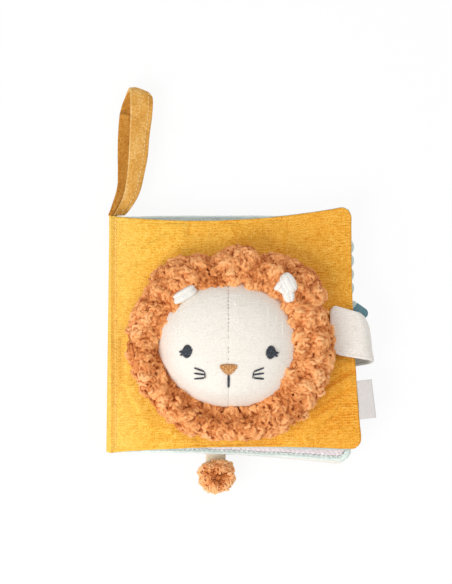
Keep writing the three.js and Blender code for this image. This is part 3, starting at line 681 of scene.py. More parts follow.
def crinkle(points, seed):
    """Height from 0 to 1 of the broken ribs that run across crinkled muslin."""
    flat = points * [1.0, 1.0, 0.0]
    pitch = 1.75
    bend = Noise(seed).layers(flat, 30, 2) * 3
    fine = Noise(seed + 1).layers(flat, 3.2, 2)
    wave = np.sin((flat[..., 1] + bend) * 2 * np.pi / pitch + fine * 6)
    broken = smooth(Noise(seed + 2).layers(flat * [0.7, 1.1, 1.0], 3.4, 2), 0.36, 0.62)
    region = 0.4 + 0.6 * smooth(flat[..., 0] + 0.8 * flat[..., 1], -10, 70)
    grain = uneven(seed + 3, flat * [0.95, 1.05, 1.0], 1.6, 2)
    return np.clip(0.5 + 0.42 * wave * broken * region + 1.0 * grain, 0, 1)


def dimples(places, spots):
    """Dents and folds: each spot is (x, y, half length, half width, angle, depth)."""
    total = 0
    for x, y, length, width, angle, depth in spots:
        along, across = turned(places[..., 0] - x, places[..., 1] - y, -angle)
        total = total + depth * np.exp(-(along / length) ** 2 - (across / width) ** 2)
    return total


def pushed_out(face, border, amount):
    """Moves the border of a grid outward from its middle, each point by its own amount."""
    flat = face.reshape(-1, 3)
    outward = unit(flat[border, :2] - flat[border, :2].mean(0))
    flat[border, :2] += outward * amount[:, None]


def closed_half(name, face, middle, side, material, slot, body, *nodes, rib=None, flat_edge=True):
    """One cloth of a panel, closed inside by a fan at the panel's middle. A flat edge lies at that level too."""
    rows, columns = face.shape[:2]
    border = border_of(rows, columns)
    flat = face.reshape(-1, 3)
    if flat_edge:
        flat[border, 2] = middle
    hub = rows * columns
    points = np.concatenate([flat, [[*flat[border, :2].mean(0), middle]]])
    fan = [(hub, b, a) if side > 0 else (hub, a, b) for a, b in zip(border, np.roll(border, -1))]
    faces = [*grid_faces(rows, columns, flip=side < 0), *fan]
    attributes = {} if rib is None else {"rib": np.append(rib.ravel(), 0.5)}
    dress(make_object(name, points, faces, material, attributes=attributes), slot, body, *nodes, fill=0.45)


FRONT_FOLDS = [
    (-26, 66, 9, 1.3, 84, -0.7), (-31, 64, 8, 1.6, 80, 0.5), (66, -34, 14, 1.5, 30, -1.6),
    (70, -42, 14, 1.4, 26, -1.9), (64, -49, 13, 1.6, 30, -1.4), (73, -55, 12, 1.4, 20, -1.7),
    (68, -62, 12, 1.4, 24, -1.2), (76, -28, 8, 1.3, 14, -1.2), (78, -47, 6, 1.2, 10, -1.0),
    (55, 62, 14, 3, 12, -0.5), (10, 66, 16, 3, 4, 0.6), (70, 40, 10, 2.4, -8, -0.5),
    (70, 31, 12, 2.2, -4, 0.5), (-66, -60, 14, 2.4, 20, 0.4), (-68, 20, 16, 3, 80, 0.4),
    (64, -18, 9, 1.8, 24, -0.7), (68, -26, 11, 1.8, 30, 0.7)]
SEAM_INSET = 2.6


def front_cover():
    """The front cover's two cloths. Returns the height of its face by place."""
    upper, under = inflate(FRONT_SHAPE, FRONT_MIDDLE, CROWN, CROWN + 0.4, 11, 0.03)
    size = 230, 370
    face, inset, hold, limit = panel_side(upper, size, FRONT_MIDDLE, 1)
    head = np.linalg.norm((face[..., :2] - HEAD_MIDDLE) / (MANE_HALF - 6), axis=-1)
    folds = dimples(face, FRONT_FOLDS)
    # Lowering the rib in the fold valleys paints shade into the creases; it also lowers the cloth there a little
    rib = np.clip(crinkle(face, 21) + 0.3 * np.minimum(folds, 0), 0, 1)
    small = uneven(8, face * [1.0, 1.6, 1.0], 4.5, 2)
    form = -1.1 * bell(head, 1.12, 0.14) + uneven(5, face, 19, 3) + folds + 0.45 * small
    beside_spine = smooth(face[..., 0], -HALF_WIDTH + 3, -HALF_WIDTH + 8)
    face[..., 2] += hold * form * beside_spine + hold * 0.2 * (rib - 0.5)
    gather = uneven(32, face * [1, 1, 0], 2.6) * bell(inset, SEAM_INSET, 2.2) * smooth(inset, 0, 1)
    face[..., 2] += -0.22 * bell(inset, SEAM_INSET, 0.7) + 0.5 * gather
    face[..., 2] = np.clip(face[..., 2], FRONT_MIDDLE + 0.3 + 0.5 * hold, FRONT_MIDDLE + limit + 0.55)
    border = border_of(*size)
    outline = face.reshape(-1, 3)[border]
    centre = outline[:, :2].mean(0)
    wander = 1 + 0.004 * uneven(31, outline, 3.2)
    face.reshape(-1, 3)[border, :2] = centre + (outline[:, :2] - centre) * wander[:, None]
    closed_half("front_cover_muslin", face, FRONT_MIDDLE + 0.1, 1, MUSLIN, "mustard_muslin", "front_cover",
                "front_cover_outer", "front_cover_wadding", "front_cover_film", rib=rib)

    size = 120, 118
    lower, _, hold, limit = panel_side(under, size, FRONT_MIDDLE, -1)
    lower[..., 2] -= hold * 0.5 * uneven(9, lower, 12, 3)
    lower[..., 2] = np.maximum(lower[..., 2], FRONT_MIDDLE - limit)
    border = border_of(*size)
    x, y = lower.reshape(-1, 3)[border, :2].T
    peep = (0.35 + 0.9 * smooth(x, 20, 45) * smooth(-y, 60, 70)) * (1 - smooth(x, 76, 80))
    pushed_out(lower, border, peep)
    closed_half("front_cover_lining_cloth", lower, FRONT_MIDDLE - 0.1, -1, LINING, "mint_lining", "front_cover",
                "front_cover_lining")
    return level_of(face, 0.9)


def leaf():
    """The leaf: pink cloth inside a puckered seam, mint velour round its edge and under it."""
    upper, under = inflate(LEAF_SHAPE, LEAF_MIDDLE, CROWN, CROWN, 12)
    rows, columns = size = 200, 196
    pucker_pitch, seam_inset, highest = 3.1, 2.9, 3.9
    face, inset, _, _ = panel_side(upper, size, LEAF_MIDDLE, 1)
    u, v = shares(*size)
    ripple = np.sin((u + v) * 150 * 2 * np.pi / pucker_pitch)
    pucker = (ripple * 0.6 + uneven(41, face, 3)) * bell(inset, 4.4, 1.8)
    face[..., 2] = np.minimum(face[..., 2], LEAF_MIDDLE + highest)
    face[..., 2] += -1.5 * bell(inset, seam_inset, 0.6) + 0.4 * bell(inset, 1.2, 1.1) + 0.6 * pucker
    face[..., 2] += 0.25 * uneven(43, face, 2.2, 2) * smooth(4 - inset, 0, 1.5)
    from_fore, from_side = (1 - u) * PAGE_WIDTH, np.minimum(v, 1 - v) * MEAN_HEIGHT
    cut = 1
    for away in (from_fore, from_side):
        cut = cut * smooth(away, 0, 2.3) * smooth(10 - away, 0, 8)
    face[..., 0] -= 2.0 * cut
    face[..., 1] += np.where(v < 0.5, 1.4, -1.4) * cut
    face[..., :2] += (0.32 * ripple * bell(inset, 3.1, 1.2))[..., None]
    border = border_of(*size)
    edge = face.reshape(-1, 3)
    pushed_out(face, border, 0.7 * uneven(42, edge[border], 2.0, 2))
    edge[border, 2] = LEAF_MIDDLE
    lower = panel_side(under, size, LEAF_MIDDLE, -1)[0]
    lower[..., 2] = np.maximum(lower[..., 2], LEAF_MIDDLE - highest)
    lower[..., 2] -= 0.3 * uneven(44, lower, 3, 3) * smooth(inset, 0, 2)
    lower.reshape(-1, 3)[border] = edge[border]

    skip = int(round(seam_inset / PAGE_WIDTH * (rows - 1)))
    middle_part = slice(skip, rows - skip), slice(skip, columns - skip)
    inner = face[middle_part]
    closed_half("leaf_pink", inner + [0, 0, 0.04], LEAF_MIDDLE + 0.2, 1, PINK, "pink_cloth", "leaf",
                "leaf_front", "leaf_wadding", "leaf_film", flat_edge=False)
    stitches = [dash for run in (inner[:, 0], inner[-1], inner[::-1, -1])
                for dash in dashes_on(run, 2.2, pucker_pitch, 1)]
    # The stitches are real, but their grey is painted shade: their dark dashes also stand for the shadow in the
    # puckered seam
    seam_thread = thread_finish("leaf_seam_thread_and_shade", "978F95", "ABA4A9", "C0BABE")
    stitch_tubes("leaf_seam_stitches", stitches, 0.28, seam_thread, "leaf")

    count = rows * columns
    keep = np.ones((rows - 1, columns - 1), bool)
    keep[skip:rows - 1 - skip, skip:columns - 1 - skip] = False
    relabel = np.arange(count) + count
    relabel[border] = border
    floor = inner.copy()
    floor[..., 2] = LEAF_MIDDLE + 0.1
    points = np.concatenate([part.reshape(-1, 3) for part in (face, lower, floor)])
    index = np.arange(count).reshape(rows, columns)[middle_part]
    ring, low = index.ravel()[border_of(*index.shape)], border_of(*index.shape) + 2 * count
    wall = np.stack([ring, np.roll(ring, -1), np.roll(low, -1), low], axis=-1)
    faces = np.concatenate([
        grid_faces(rows, columns)[keep.ravel()], relabel[grid_faces(rows, columns, flip=True)], wall[:, ::-1],
        grid_faces(*index.shape, start=2 * count)])
    dress(make_object("leaf_velour", points, faces, VELOUR), "mint_velour", "leaf", "leaf_back", fill=0.45)


def back_cover():
    upper, under = inflate(BACK_SHAPE, BACK_MIDDLE, CROWN - REST_CUT, CROWN, 13)
    face, _, hold, _ = panel_side(upper, (130, 128), BACK_MIDDLE, 1)
    face[..., 2] = np.minimum(face[..., 2], BACK_MIDDLE + 3.95)
    face[..., 2] += hold * 0.4 * (Noise(51).layers(face, 9, 3) - 0.7)
    closed_half("back_cover_lining_cloth", face, BACK_MIDDLE + 0.1, 1, CREAM, "cream_cloth", "back_cover",
                "back_cover_lining", "back_cover_wadding", "back_cover_film")
    lower, _, hold, _ = panel_side(under, (200, 350), BACK_MIDDLE, -1)
    rib = crinkle(lower, 24)
    lower[..., 2] -= hold * (0.17 * (rib - 0.5) + 0.6 * uneven(52, lower, 15, 3))
    lower[..., 2] = np.maximum(lower[..., 2], 0.02)
    closed_half("back_cover_muslin", lower, BACK_MIDDLE - 0.1, -1, MUSLIN, "mustard_muslin", "back_cover",
                "back_cover_outer", rib=rib)


cover_level = front_cover()
leaf()
back_cover()


# Curves beside the panels

def beside(places, count):
    """A curve in the XZ plane at even lengths, and its left normals."""
    line = curve_through([(x, 0, z) for x, z in places], count)
    along = unit(np.gradient(line, axis=0))
    return line, np.stack([-along[:, 2], along[:, 1] * 0, along[:, 0]], axis=-1)


def front_top_at(inward):
    return FRONT_MIDDLE + face_height(1 - inward / HALF_WIDTH)


def fore_edge_at(shape, y):
    share = (y + HALF_HEIGHT) / PAGE_HEIGHT
    straight = HALF_WIDTH + shape["fore_bottom"] + (shape["fore_top"] - shape["fore_bottom"]) * share
    return straight - shape["draw_fore"] * 4 * share * (1 - share)


def spine_cloth():
    """The cloth round the spine, in two pieces that meet at the leaf."""
    off = CLEARANCE + CLOTH / 2
    edge = -HALF_WIDTH
    lap_top, lap_bottom = 3.3, 1.0
    bulge_low, bulge_high = 2.4, 0.3
    under = BACK_MIDDLE - face_height(1 - lap_bottom / HALF_WIDTH)
    low_y = -HALF_HEIGHT - FRONT_SHAPE["bottom_spine"]
    high_y = HALF_HEIGHT + FRONT_SHAPE["top_spine"]
    columns, steps = 300, 61
    lines, normals = [], []
    for up in np.linspace(0, 1, columns):
        bulge = bulge_low + (bulge_high - bulge_low) * up
        line, left = beside([
            (edge + lap_bottom, under - off + 0.35), (edge - off / 2, BACK_MIDDLE - RIM - off / 2),
            (edge - off, BACK_MIDDLE), (edge - off - bulge, LEAF_MIDDLE), (edge - off, FRONT_MIDDLE),
            (edge - off / 2, FRONT_MIDDLE + RIM + off), (edge + lap_top / 2, front_top_at(lap_top / 2) + off),
            (edge + lap_top, front_top_at(lap_top) + off)], steps)
        line[:, 1] = low_y + (high_y - low_y) * up
        lines.append(line)
        normals.append(left)
    line, left = np.stack(lines, axis=1), np.stack(normals, axis=1)
    rib = crinkle(line, 27)
    reach = line[..., 0] - edge
    laid = smooth(reach, 0.2, 1.4) * (line[..., 2] > FRONT_MIDDLE)
    under_lap = cover_level(np.maximum(line[..., :2], [edge + 1.0, -1e3]))
    seat = under_lap + 0.45 * (1 - smooth(reach, 0.8, 3.0)) - 0.5 * smooth(reach, 2.0, lap_top)
    line[..., 2] = (1 - laid) * line[..., 2] + laid * seat
    line = line + left * (0.12 * (rib - 0.5))[..., None]
    half = CLOTH / 2 * (1 - 0.9 * laid * smooth(reach, 0.6, lap_top - 0.2))[..., None]
    split = int(np.argmin(np.abs(line[..., 2].mean(axis=1) - LEAF_MIDDLE)))
    lower, upper = slice(0, split + 1), slice(split, steps)
    for name, part, bodies, start, end in (
            ("spine_cloth_lower", lower, ("back_cover", "leaf"), 4.5, LEAF_MIDDLE - 1.5),
            ("spine_cloth_upper", upper, ("leaf", "front_cover"), LEAF_MIDDLE + 1.5, 19.2)):
        piece = slab(name, (line + left * half)[part], (line - left * half)[part], MUSLIN,
                     attributes={"rib": np.concatenate([rib[part].ravel()] * 2)})
        if part is lower:
            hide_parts("spine_cover")
        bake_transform(piece)


def seam_stitches():
    """The running stitch beside the spine."""
    x, pitch, length = -HALF_WIDTH + 3.2, 2.6, 2.2
    ends = np.array([[(x, y), (x, y + length)] for y in np.arange(-HALF_HEIGHT, HALF_HEIGHT - 3, pitch)])
    lines = np.concatenate([ends, (cover_level(ends) + 0.12)[..., None]], axis=-1)
    thread = plain_weave_finish("mustard_thread", "F0BC58", "FBD27A", "FEE09A", 0.4)
    stitch_tubes("spine_stitches", lines, 0.42, thread, flat=0.6)


spine_cloth()
seam_stitches()


# Lion head

LOW_SIDE = math.radians(232)  # where the mane lies lowest and the face is tucked in


def face_slubs():
    """Thick places in the linen's threads, raised a little over the weave."""
    maker = np.random.default_rng(65)
    paths = []
    t = np.linspace(0, 1, 12)[:, None]
    for k in range(64):
        low_y = -4 if k < 44 else -40
        start = np.array([maker.uniform(-36, 36), maker.uniform(low_y, 26)])
        turn = maker.choice([0.06, math.pi / 2 + 0.05]) + maker.normal() * 0.1
        bend = maker.normal() * 0.18
        length = maker.uniform(6, 17)
        along = np.array([math.cos(turn), math.sin(turn)])
        flat = start + along * length * t + np.array([-along[1], along[0]]) * bend * length * t * (1 - t)
        if np.max(np.linalg.norm((flat - FACE_MIDDLE) / FACE_HALF, axis=-1)) < 0.84:
            paths.append(on_face(flat, 0.02))
    radii = 0.17 * np.sin(np.linspace(0.15, math.pi - 0.15, 12)) ** 0.6
    points, faces, uv = tubes(paths, radii[None], 5, 0.7)
    dress(make_object("face_slubs", points, faces, SLUB, uvs=uv), "face_linen", "front_cover")


def face_cloth():
    """The face's two panels, stuffed. Returns the height of the face by place."""
    turns, rings = 360, 110
    angle = circle(turns)
    share = np.sin(np.linspace(0.004, 1, rings) * np.pi / 2) ** (2 / FACE_POWER)
    radial = np.stack([np.cos(angle), np.sin(angle)], axis=-1)
    low_side = smooth(np.cos(angle - LOW_SIDE), 0.1, 0.9)[:, None]
    tuck = 1 - 0.08 * low_side * smooth(share, 0.5, 0.9)[:, None, None]
    places = FACE_MIDDLE + share[:, None, None] * radial[None] * FACE_HALF * tuck
    level = HEAD_FOOT + 0.05 + FACE_HEIGHT * np.sqrt(np.clip(1 - share ** FACE_POWER, 0, 1))
    grid = np.concatenate([places, np.broadcast_to(level[:, None, None], (rings, turns, 1))], axis=-1)
    across = (np.roll(grid, -1, axis=1) - np.roll(grid, 1, axis=1)) / 2
    normal = unit(np.cross(np.gradient(grid, axis=0), across))
    normal = np.where(normal[..., 2:] < -0.2, -normal, normal)
    off_seam = np.abs(grid[..., 0] - FACE_MIDDLE[0])
    dashes = smooth(np.sin(grid[..., 1] * 2 * np.pi / 1.9), -0.3, 0.5)
    groove = bell(off_seam, 0, 0.5) * (0.3 + 0.7 * smooth(grid[..., 1], -30, -10)) * dashes
    pucker = uneven(61, grid * [0.35, 1, 0.2], 2.6) * bell(off_seam, 0, 5)
    form = -0.4 * groove - 0.25 * bell(off_seam, 0, 2.4) + 0.35 * pucker + 0.9 * uneven(62, grid, 16, 3)
    grid = grid + normal * (form * smooth(1 - share, 0, 0.2)[:, None])[..., None]
    for side, name, nodes in ((-1, "left", ["face_left"]), (1, "right", ["face_right", "head_stuffing"])):
        points, faces, shown = half_of(grid, side)
        piece = make_object("face_linen_" + name, points, faces, FACE, smooth_faces=shown)
        dress(piece, "face_linen", "front_cover", *nodes, fill=0.9)
    return level_of(grid[:-12], 1.3)


def half_of(grid, side):
    """The part of the dome on one side of the centre seam, closed by a wall and a foot, and which faces are shown."""
    rings, turns = grid.shape[:2]
    across = turns // 2 + 1
    part = grid[:, (np.arange(across) - side * turns // 4) % turns].copy()
    seam, y = FACE_MIDDLE
    part[..., 0] = np.where(side * (part[..., 0] - seam) < 0, seam, part[..., 0])
    top, middle = rings * across, rings * across + 1
    points = [*part.reshape(-1, 3), (seam, y, part[0, :, 2].max()), (seam, y, HEAD_FOOT)]
    faces = [*grid_faces(rings, across), *((top, k, k + 1) for k in range(across - 1))]
    shown = len(faces)
    left = np.arange(rings) * across
    right, foot = left + across - 1, np.arange(across) + left[-1]
    faces += [(middle, b, a) for a, b in zip(left[:-1], left[1:])] + [(middle, left[0], top)]
    faces += [(middle, a, b) for a, b in zip(right[:-1], right[1:])] + [(middle, top, right[0])]
    faces += [(middle, b, a) for a, b in zip(foot[:-1], foot[1:])]
    return np.array(points), faces, np.arange(len(faces)) < shown


def on_face(places, lift):
    """Places on the face as points, a little above its cloth."""
    places = np.asarray(places, float)
    return np.concatenate([places, (face_top(places) + lift)[..., None]], axis=-1)


def face_seam_dashes():
    """Stitches that show in the face's centre seam, mostly towards the forehead."""
    maker = np.random.default_rng(67)
    ends = []
    for y in np.arange(-20.0, 30.0, 2.3):
        if maker.random() < 0.35 + 0.6 * smooth(y, -12, 10):
            x = FACE_MIDDLE[0] + 0.15 * maker.normal()
            ends.append([(x, y), (x + 0.1 * maker.normal(), y + maker.uniform(0.8, 1.4))])
    thread = plain_weave_finish("face_seam_thread", "9A8770", "B5A38D", "CFC1AE", 0.4)
    stitch_tubes("face_seam_stitches", on_face(ends, -0.03), 0.19, thread)


face_top = face_cloth()
face_slubs()
face_seam_dashes()


# Mane

# How far out the mane reaches in each direction, and its section from the face out and down
MANE_SHARES = np.array([
    0.965, 0.95, 0.95, 1.03, 1.06, 1.04, 1.0, 0.92, 0.98, 0.935, 0.86, 0.91,
    0.96, 0.99, 0.975, 0.945, 0.95, 0.965, 0.97, 0.965, 0.955, 0.955, 0.965, 0.98,
    0.99, 0.98, 0.975, 0.975, 0.99, 1.01, 1.02, 1.02, 1.01, 0.985, 0.975, 0.975])
MANE_PROFILE = [(0.6, 0.74), (0.66, 0.94), (0.78, 1.0), (0.88, 0.92), (0.955, 0.72), (1.0, 0.42), (0.985, 0.2),
                (0.95, 0.03)]
PROFILE_SIZE = np.array([67, MANE_HEIGHT])
MANE_CURVE = curve_through([(*(share * PROFILE_SIZE), 0) for share in MANE_PROFILE], 60)[:, :2] / PROFILE_SIZE
LUMP_ROWS = (0.06, 20), (0.32, 21), (0.6, 24), (0.88, 27)
LUMP_SIZE, LUMP_RISE, WAVE_RISE = 10.0, 2.8, 3.4
# Deep gaps between tufts: place, reach and depth. Each gap also darkens the fleece there as painted shade.
MANE_GAPS = [(7.8, 46.2, 4.5, 2.4), (37.9, 40.2, 4.0, 2.4), (42.6, 34.6, 4.5, 3.0), (49.9, 31.4, 5.0, 3.2),
             (49.4, 20.5, 4.5, 2.4), (-47.8, -23.1, 4.5, 2.2), (-46.5, -33.0, 5.0, 2.6), (-46.7, -14.3, 4.0, 2.2),
             (-44.5, 19.5, 4.5, 2.4), (-28.8, -49.0, 4.5, 2.4), (-11.8, -55.5, 4.5, 2.0), (24.0, -49.5, 4.5, 2.2),
             (51.5, -11.0, 4.5, 2.6), (45.5, -26.3, 4.0, 2.2)]


def mane_surface(angle, along):
    """Point and outward normal on the mane, where along runs from the face out and down, from 0 to 1."""
    def place(angle, along):
        count = len(MANE_SHARES)
        turn = (angle / (2 * np.pi)) % 1 * count
        low = np.floor(turn).astype(int)
        part = smooth(turn - low, 0, 1)
        reach = MANE_SHARES[low % count] * (1 - part) + MANE_SHARES[(low + 1) % count] * part
        track = np.linspace(0, 1, len(MANE_CURVE))
        share, up = (np.interp(along, track, MANE_CURVE[:, k]) for k in (0, 1))
        low_side = smooth(np.cos(angle - LOW_SIDE), -0.05, 0.75)
        up = up * (1 - 0.62 * low_side * (1 - smooth(along, 0.08, 0.46)))
        x = HEAD_MIDDLE[0] + MANE_HALF[0] * share * reach * np.cos(angle)
        y = HEAD_MIDDLE[1] + MANE_HALF[1] * share * reach * np.sin(angle)
        return np.stack([x, y, HEAD_FOOT + MANE_HEIGHT * up], axis=-1)
    down = place(angle, np.clip(along + 0.01, 0, 1)) - place(angle, np.clip(along - 0.01, 0, 1))
    onward = place(angle + 0.01, along) - place(angle - 0.01, along)
    return place(angle, along), unit(np.cross(down, onward))


def lumps_near(points, centres, size):
    """How high round lumps about the centres stand at points, from 0 in the gaps to 1, and each point's own centre."""
    away = np.linalg.norm(points[..., None, :] - centres, axis=-1)
    order = np.argsort(away, axis=-1)[..., :2]
    near = np.take_along_axis(away, order, axis=-1)
    dome = np.sqrt(np.clip(1 - (near[..., 0] / size) ** 2, 0, 1))
    gap = smooth(near[..., 1] - near[..., 0], 0.0, 0.55 * size)
    return dome * (0.35 + 0.65 * gap), order[..., 0]


def lain(points, normal, flow, maker, chance):
    """Which way locks lie on a surface, and their sides, from a flow that drifts a little from place to place."""
    drift = np.stack([uneven(300 + k, points, 9.0) for k in range(1, 4)], axis=-1)
    flow = flow + drift + chance * maker.normal(size=(len(points), 3))
    along = unit(flow - normal * np.sum(flow * normal, axis=-1, keepdims=True))
    return along, np.cross(normal, along)


def fleece(name, points, normal, flow, tone, seed, body, length=(4.0, 7.6), radius=(0.95, 1.35), lift=0.3):
    """Small bent locks of fleece on a surface, knobbly and rough."""
    maker = np.random.default_rng(seed)
    count, rings, sides = len(points), 10, 7
    along, side = (part[:, None] for part in lain(points, normal, flow, maker, 0.16))
    size = maker.uniform(*length, count)[:, None, None]
    thick = maker.uniform(*radius, count)[:, None]
    bend = maker.uniform(-1.0, 1.0, count)[:, None, None]
    rise = maker.uniform(0.0, 1.0, count)[:, None, None] * lift
    wobble = maker.uniform(0, 2 * np.pi, count)[:, None, None]
    t = np.linspace(0, 1, rings)[None, :, None]
    path = (points[:, None] + along * size * (t - 0.5) + side * (size * bend * (t - 0.5) ** 2)
            + side * 0.6 * np.sin(t * 8 + wobble) + normal[:, None] * size * (rise * np.sin(np.pi * t) - 0.05))
    shape = np.sin(np.pi * (0.07 + 0.86 * t[..., 0])) ** 0.45
    knobs = 1 + 0.25 * np.sin(t[..., 0] * 12 + maker.uniform(0, 2 * np.pi, (count, 1)))
    skin, faces, uv = tubes(path, thick * shape * knobs, sides, 0.85, normal[:, None])
    rough = uneven(seed + 9, skin, 1.5, 2)
    skin = skin + unit(skin - np.repeat(path.reshape(-1, 3), sides, axis=0)) * (0.35 * rough)[:, None]
    skin[:, 2] = np.maximum(skin[:, 2], 0.2)
    shade = np.clip(tone + 0.04 * np.random.default_rng(seed + 3).normal(size=count), 0, 1)
    tones = {"tone": np.repeat(shade, sides * rings)}
    dress(make_object(name, skin, faces, SHERPA, attributes=tones, uvs=uv), "sherpa", body)


def blurred(values, times):
    """Values on a grid that wraps along its columns, each mixed with its neighbours a number of times."""
    for _ in range(times):
        ended = np.concatenate([values[:1], values, values[-1:]])
        values = (ended[:-2] + 2 * values + ended[2:]) / 4
        values = (np.roll(values, 1, 1) + 2 * values + np.roll(values, -1, 1)) / 4
    return values


def locks_on(base, normal, flow, level, seed, spots):
    """How far short round locks stand out of a closed band, given as a grid of points that wraps along its columns,
    and how far above their surroundings. The spots are the grid places the locks lie at, with their flow and level."""
    maker = np.random.default_rng(seed)
    rows, columns = base.shape[:2]
    count = len(level)
    middle = base[spots]
    along, side = lain(middle, normal[spots], flow, maker, 0.2)
    half = maker.uniform(2.3, 4.8, count)
    thick = maker.uniform(1.0, 1.55, count)
    bend = maker.uniform(-0.1, 0.1, count)
    sway, phase = maker.uniform(0, 0.75, count), maker.uniform(0, 6.3, count)
    relief = np.full((rows, columns), -1.3)
    for k in range(count):
        near = np.ix_(np.clip(np.arange(-13, 14) + spots[0][k], 0, rows - 1),
                      (np.arange(-20, 21) + spots[1][k]) % columns)
        local = base[near] - middle[k]
        v = local @ along[k]
        u = local @ side[k] - bend[k] * v ** 2 - sway[k] * np.sin(1.3 * v + phase[k])
        beyond = np.maximum(np.abs(v) - half[k] + thick[k], 0)
        dome = 1 - (u ** 2 + beyond ** 2) / thick[k] ** 2
        value = level[k] + thick[k] * np.sqrt(np.maximum(dome, 0)) * (1 + 0.12 * np.sin(2.6 * v + phase[k]))
        relief[near] = np.where((dome > 0) & (value > relief[near]), value, relief[near])
    relief = blurred(relief, 1)
    return relief, relief - blurred(relief, 24)


HAIR_RINGS, HAIR_SIDES = 4, 3


def fibres(name, roots, normal, seed, body, length, thick, tone):
    """Fine single hairs of the fleece, each a thin bent thread that stands off the surface."""
    maker = np.random.default_rng(seed)
    count = len(roots)
    first = unit(normal * 0.6 + 0.9 * maker.normal(size=(count, 3)))
    second = unit(first + 0.8 * maker.normal(size=(count, 3)))
    size = maker.uniform(*length, count)[:, None, None]
    t = np.linspace(0, 1, HAIR_RINGS)[None, :, None]
    path = roots[:, None] + size * (first[:, None] * t + 0.5 * (second - first)[:, None] * t ** 2)
    path[..., 2] = np.maximum(path[..., 2], 0.4)
    radii = thick * np.array([1.0, 0.9, 0.7, 0.35])[None]
    points, faces, uv = tubes(path, radii, HAIR_SIDES, 1.0, (0.31, 0.17, 0.93))
    tones = {"tone": np.full(len(points), tone)}
    dress(make_object(name, points, faces, SHERPA, attributes=tones, uvs=uv), "sherpa", body)


def mane_lumps():
    maker = np.random.default_rng(77)
    spots = []
    for along, count in LUMP_ROWS:
        angle = (np.arange(count) + maker.uniform(-0.6, 0.6, count)) * 2 * np.pi / count
        spots.append(mane_surface(angle, np.clip(along + maker.uniform(-0.13, 0.13, count), 0, 1))[0])
    return np.concatenate(spots)


def mane():
    """The mane: a backing with locks raised on it, loose locks over that, and fine hairs."""
    centres = mane_lumps()
    maker = np.random.default_rng(79)
    swirl, outward = maker.uniform(-1, 1, len(centres)), maker.uniform(-0.6, 0.9, len(centres))

    def on_lumps(base, normal, sink):
        high, own = lumps_near(base, centres, LUMP_SIZE)
        wave = uneven(74, base, 10, 3)
        high = np.clip(high + 1.7 * uneven(75, base, 5.5, 2), 0, 1.15)
        for x, y, reach, depth in MANE_GAPS:
            gap = np.exp(-((base[..., 0] - x) ** 2 + (base[..., 1] - y) ** 2) / reach ** 2)
            wave = wave - depth / WAVE_RISE * gap
            # Painted shade: lowers the tone in each gap
            high = high * (1 - 0.5 * gap)
        spots = base + normal * (LUMP_RISE * (high - 0.72) + WAVE_RISE * wave - sink)[..., None]
        away = base - centres[own]
        radial = unit((base - [*HEAD_MIDDLE, HEAD_FOOT]) * [1, 1, 0])
        swirled = np.cross(normal, away) * swirl[own][..., None] + away * outward[own][..., None]
        return spots, unit(normal + 0.07 * away), 0.05 * swirled + 0.36 * radial, high

    turns, rings, locks = 940, 100, 5200
    grid_angle, along = np.meshgrid(circle(turns), np.linspace(0, 1, rings), indexing="xy")
    base, normal = mane_surface(grid_angle, along)
    surface, _, _, high = on_lumps(base, normal, 1.0)
    picks = (maker.integers(0, rings, locks), maker.integers(0, turns, locks))
    flow = on_lumps(base[picks], normal[picks], 0.0)[2]
    relief, crest = locks_on(base, normal, flow, maker.uniform(-1.2, 0.5, locks), 85, picks)
    surface = surface + normal * (1.4 * relief)[..., None]
    surface[..., 2] = np.maximum(surface[..., 2], HEAD_FOOT)
    inner = base[0].copy()
    inner[:, 2] = HEAD_FOOT
    top, here = rings * turns, np.arange(turns)
    last, onward = top - turns, np.roll(here, -1)
    walls = np.stack([np.stack([top + here, here, onward, top + onward], axis=-1),
                      np.stack([last + here, top + here, top + onward, last + onward], axis=-1)], axis=1)
    faces = np.concatenate([grid_faces(rings, turns, wrap=True), walls.reshape(-1, 4)])
    # Painted shade: the backing is darker in the gaps and crevices and lighter on lumps and crests, with some random
    # variation, and its inner foot against the face is nearly black
    tone = np.append((0.29 + 0.24 * high + 0.5 * crest).ravel(), np.full(turns, 0.02))
    uv = np.stack([np.tile(np.linspace(0, 90, turns), rings + 1),
                   np.append(np.repeat(np.linspace(0, 8, rings), turns), np.zeros(turns))], axis=-1)
    backing = make_object("mane_backing", np.concatenate([surface.reshape(-1, 3), inner]), faces, SHERPA,
                          attributes={"tone": tone}, uvs=uv)
    dress(backing, "sherpa", "front_cover", "mane", fill=0.8)
    for part, (low, high_end) in enumerate(((0.0, 0.28), (0.28, 0.52), (0.52, 0.76), (0.76, 0.96))):
        maker = np.random.default_rng(81 + part)
        pick = maker.uniform(0, 1, (330, 2))
        base, normal = mane_surface(pick[:, 0] * 2 * np.pi, low + (high_end - low) * pick[:, 1])
        sink = maker.uniform(-0.7, 0.5, len(pick))
        spots, tilted, flow, high = on_lumps(base, normal, sink)
        # Painted shade: locks sunk deeper and lower on the lumps are darker
        tone = 0.27 + 0.28 * high - 0.16 * sink
        fleece(f"mane_curls_{part + 1}", spots, tilted, flow, tone, 91 + part * 20, "front_cover")
    pick = maker.uniform(0, 1, (9800, 2))
    base, normal = mane_surface(pick[:, 0] * 2 * np.pi, 0.97 * pick[:, 1])
    spots, tilted, _, high = on_lumps(base, normal, 0.0)
    # Painted shade: hairs on high lumps are paler than those in the gaps
    fibres("mane_fuzz", spots + tilted, tilted, 83, "front_cover", (0.8, 2.0), 0.09,
           np.repeat(0.35 + 0.35 * high, HAIR_RINGS * HAIR_SIDES))


mane()


# Tail

POM_MIDDLE = np.array([-8.8, -95.5, 10.7])
POM_RADIUS = np.array([11.0, 9.4, 10.4])
POM_LUMPS, POM_LUMP_SIZE = 30, 4.8
GOLDEN_ANGLE = 2.39996


